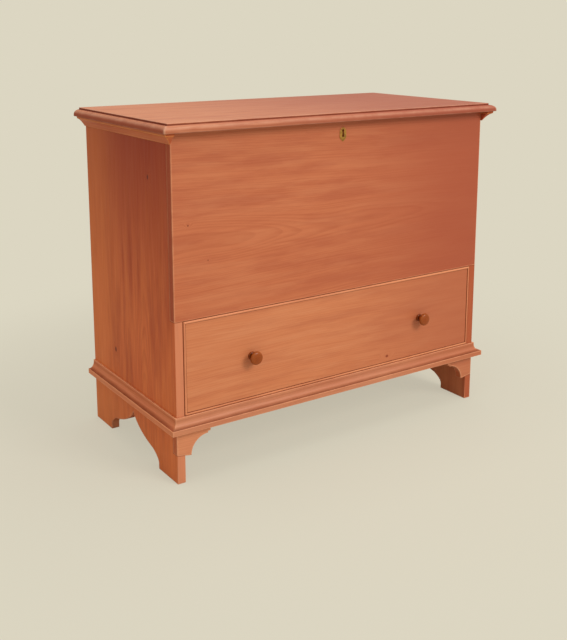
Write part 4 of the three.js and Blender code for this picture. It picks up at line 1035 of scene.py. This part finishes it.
def knob(name):
    """A surface of revolution: the profile's radius times the cosine and sine of the angle gives x
    and z, and its distance from the drawer gives y. The head's rim is worn, and the neck is darkened
    by wax and painted shade, each as a bell curve of that distance."""
    low, high = case_box(f"drawer_knob_{name}")
    centre, reach = (low + high) / 2, -low[1]
    back, middle, dished = reach - HEAD_THICK, reach - (HEAD_THICK + DISH) / 2, reach - DISH / 3
    shape = np.vstack([
        [(0, -high[1]), (SPIGOT, -high[1]), (SPIGOT, -COLLAR_SINK), (COLLAR - COLLAR_ARRIS, 0),
         (COLLAR, COLLAR_FOOT)],
        hang((COLLAR, COLLAR_SHOULDER), (COLLAR, COLLAR_THICK), (NECK, COLLAR_THICK), 10),
        hang((NECK, COLLAR_THICK), (NECK, back), (HEAD, middle), 18)[1:],
        hang((HEAD, middle), (HEAD + BULGE, reach - DISH * 0.8), (HEAD - DISH, dished), 14)[1:],
        hang((HEAD - DISH, dished), (NECK, reach), (0, reach), 12)[1:],
    ])
    radius, out = shape[:, :1], shape[:, 1:]
    angle = np.linspace(0, 2 * np.pi, AROUND, endpoint=False)
    rings = np.stack([centre[0] + radius * np.cos(angle), np.broadcast_to(-out, (len(shape), AROUND)),
                      centre[2] + radius * np.sin(angle)], -1)
    rim = np.exp(-((out - (reach - DISH)) / RUB_WIDTH) ** 2) * (radius > NECK)
    neck_dirt_and_shade = np.exp(-((out - COLLAR_THICK - COLLAR_SHOULDER) / RUB_WIDTH) ** 2) * (radius < HEAD * 0.75)
    return skin(f"drawer_knob_{name}_maple", rings, wear_and_highlight=rim, grime_and_shade=neck_dirt_and_shade, crease=50)


for name, _ in SIDES:
    fit(knob(name), "drawer", "turned_maple", MAPLE, f"drawer_knob_{name}")

# %% [markdown]
# The escutcheon keeps the key from scraping the wood. It is a thin pointed plate with a filed edge,
# pierced with the keyhole and pinned at both ends. It is made as the boards are, at its own size.

# %% Escutcheon
# The right half's corners, as shares of half the plate's width and height.
PLATE_SHARES = np.array([(0, 1), (0.62, 0.8), (1, 0.45), (1, -0.4), (0.66, -0.7), (0, -1)])
plate_half = (escutcheon_high - escutcheon_low) / 2
plate_middle = (escutcheon_high + escutcheon_low)[2] / 2
plate_right = PLATE_SHARES * (plate_half[0], plate_half[2]) + (0, plate_middle)
plate_outline = np.vstack([plate_right, plate_right[-2:0:-1] * (-1, 1)])
plate = board("keyhole_escutcheon_brass", plate_outline, (escutcheon_low[1], 0), lambda x, z, y: (x, y, z),
              ease=0.35, rim=1.0)
carve(plate, [wedge("keyhole", keyhole(), -PAST, PAST)])
fit(plate, "case", "brass", BRASS, "keyhole_escutcheon")

# %% [markdown]
# The plain boards and the ironwork keep the solids that they came with, for a new skin would add
# nothing to a flat board. A solid's faces are loose, so a Weld joins them and a Bevel softens the
# edges. Each board gets its own stick of pine: the heart of the tree is at a different place.

# %% Plain boards
BARE_BOARDS = {
    "back_board_upper": ("X", "Z", (0.4, 0.75, 0.36)),
    "back_board_lower": ("X", "Z", (-0.5, 0.22, 0.34)),
    "chest_floor": ("X", "Y", (0.2, 0.05, 0.34)),
    "drawer_back": ("X", "Z", (0.1, 0.2, 0.28)),
    "drawer_bottom": ("X", "Y", (-0.3, 0.1, 0.1)),
    "drawer_side_left": ("Y", "Z", (0.5, 0.33, -0.53)),
    "drawer_side_right": ("Y", "Z", (-0.4, 0.2, 0.54)),
    "drawer_runner_left": ("Y", "X", (0.1, -0.43, 0.1)),
    "drawer_runner_right": ("Y", "X", (0.2, 0.44, 0.11)),
    "drawer_stop_left": ("Z", "X", (0.1, -0.43, 0.1)),
    "drawer_stop_right": ("Z", "X", (0.2, 0.44, 0.11)),
}
CASE_BEVEL, DRAWER_BEVEL = 0.8, 0.5


def soften(node, width, finish):
    """Joins a solid's loose faces, takes off its sharp edges by so many millimetres and finishes it."""
    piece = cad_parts[node]
    piece.modifiers.new("weld", "WELD").merge_threshold = 0.01 * MM
    bevel = piece.modifiers.new("bevel", "BEVEL")
    bevel.width, bevel.segments, bevel.limit_method = width * MM, 2, "ANGLE"
    bevel.angle_limit = np.radians(40)
    paint(piece, finish)


for node, (along, across, heart) in BARE_BOARDS.items():
    wood = pine(f"{node}_pine", along, across, heart, BARE, figure=0.6, wax=0.0, rough=0.66)
    soften(node, DRAWER_BEVEL if node.startswith("drawer") else CASE_BEVEL, wood)
soften("front_rail", CASE_BEVEL, pine("front_rail_pine", "X", "Z", (0.2, 0.1, -0.3), STAINED))
soften("drawer_front", DRAWER_BEVEL, DRAWER_PINE)
print("bare boards:", len(BARE_BOARDS))

# %% [markdown]
# The hinges, the lock, its catch and the screws and pins are small and mostly out of sight, so a
# finer edge and the metal's own look are all that they need.

# %% Ironwork and pins
METALWORK = ("hinge", "lock", "catch", "lid_catch", "escutcheon_pin")
IRON_BEVEL, PIN_BEVEL = 0.3, 0.15
metal_nodes = [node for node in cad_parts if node.startswith(METALWORK)]
for node in metal_nodes:
    small = "screw" in node or "pin" in node
    soften(node, PIN_BEVEL if small else IRON_BEVEL, BRASS if node.startswith("escutcheon") else IRON)
print("metal pieces:", len(metal_nodes))

# %% [markdown]
# The floor is a wide pale sheet. Near the chest a third of its tone comes from the light on it,
# which keeps a soft shadow under the feet. Further out it fades into an even paper tone, which the
# sky behind it has too, so that no horizon line crosses the picture.

# %% Floor and backdrop
PAPER, FLOOR_TONE = "#DCD6C2", "#CDC7B4"
FADE_FROM, FADE_TO, EVEN_SHARE = 0.7, 1.7, 0.68  # metres from the middle, and the share within them
FLOOR_HALF, WORLD_LIGHT = 12, 0.62


def seen_directly(tree):
    """1 for the rays that show the background as it is: camera, mirror and glass rays."""
    path = add(tree, "LightPath")
    seen = add(tree, "Math", {0: path.outputs["Is Camera Ray"], 1: path.outputs["Is Glossy Ray"]},
               operation="MAXIMUM")
    return add(tree, "Math", {0: seen, 1: path.outputs["Is Transmission Ray"]}, operation="MAXIMUM")


def paper_floor():
    """Lit paper under a share of even tone that grows to 1 away from the chest. Only the rays that
    show the floor as it is see the even tone; to all others it is lit paper."""
    made, tree = material("paper_floor")
    far = add(tree, "VectorMath", {0: add(tree, "TexCoord").outputs["Object"]}, operation="LENGTH")
    fade = add(tree, "MapRange", {0: far, 1: FADE_FROM, 2: FADE_TO, 3: EVEN_SHARE, 4: 1.0},
               interpolation_type="SMOOTHERSTEP")
    fade = add(tree, "Math", {0: fade, 1: seen_directly(tree)}, operation="MULTIPLY")
    lit = add(tree, "BsdfDiffuse", {"Color": linear(FLOOR_TONE)})
    even = add(tree, "Emission", {"Color": linear(PAPER)})
    add(tree, "OutputMaterial", {"Surface": add(tree, "MixShader", {0: fade, 1: lit, 2: even})})
    return made


floor_mesh = bpy.data.meshes.new("floor")
floor_ring = FLOOR_HALF * np.array([(-1, -1, 0), (1, -1, 0), (1, 1, 0), (-1, 1, 0)])
floor_mesh.from_pydata(floor_ring, [], [(0, 1, 2, 3)])
floor_mesh.materials.append(paper_floor())
floor = put("floor", floor_mesh)

world = bpy.data.worlds.new("studio")
scene.world = world
world.use_nodes = True
air = world.node_tree
air.nodes.clear()
sky = add(air, "Background", {"Color": linear("#FFFFFF"), "Strength": WORLD_LIGHT})
paper = add(air, "Background", {"Color": linear(PAPER), "Strength": 1.0})
add(air, "OutputWorld", {"Surface": add(air, "MixShader", {0: seen_directly(air), 1: sky, 2: paper})})
print("paper tone:", PAPER)

# %% [markdown]
# One wide soft lamp stands in front, high and to the right, so the front and the top are lit, the
# left side falls into shade, and the knobs throw a soft shadow down to their left. A weak one hangs
# overhead and lifts the lid's top. The even light of the sky fills the rest.

# %% Lamps
def lamp(name, stand, aim, size, watts):
    """A square soft lamp at one point, turned towards another."""
    data = bpy.data.lights.new(name, "AREA")
    data.shape, data.size, data.energy = "SQUARE", size, watts
    made = put(name, data)
    made.location = stand
    across, deep, rise = np.array(aim) - np.array(stand)
    made.rotation_euler = (np.arctan2(np.hypot(across, deep), -rise), 0, np.arctan2(-across, deep))


lamp("key", (2.1, -5.6, 4.1), (0.0, 0.0, 0.45), 2.6, 237)
lamp("overhead", (0.0, -0.3, 3.6), (0.0, 0.0, 0.9), 2.4, 42)

# %% [markdown]
# Last, the view settings stay plain, so that a colour renders about as it is written.

# %% Finish
scene.view_settings.view_transform = "Standard"
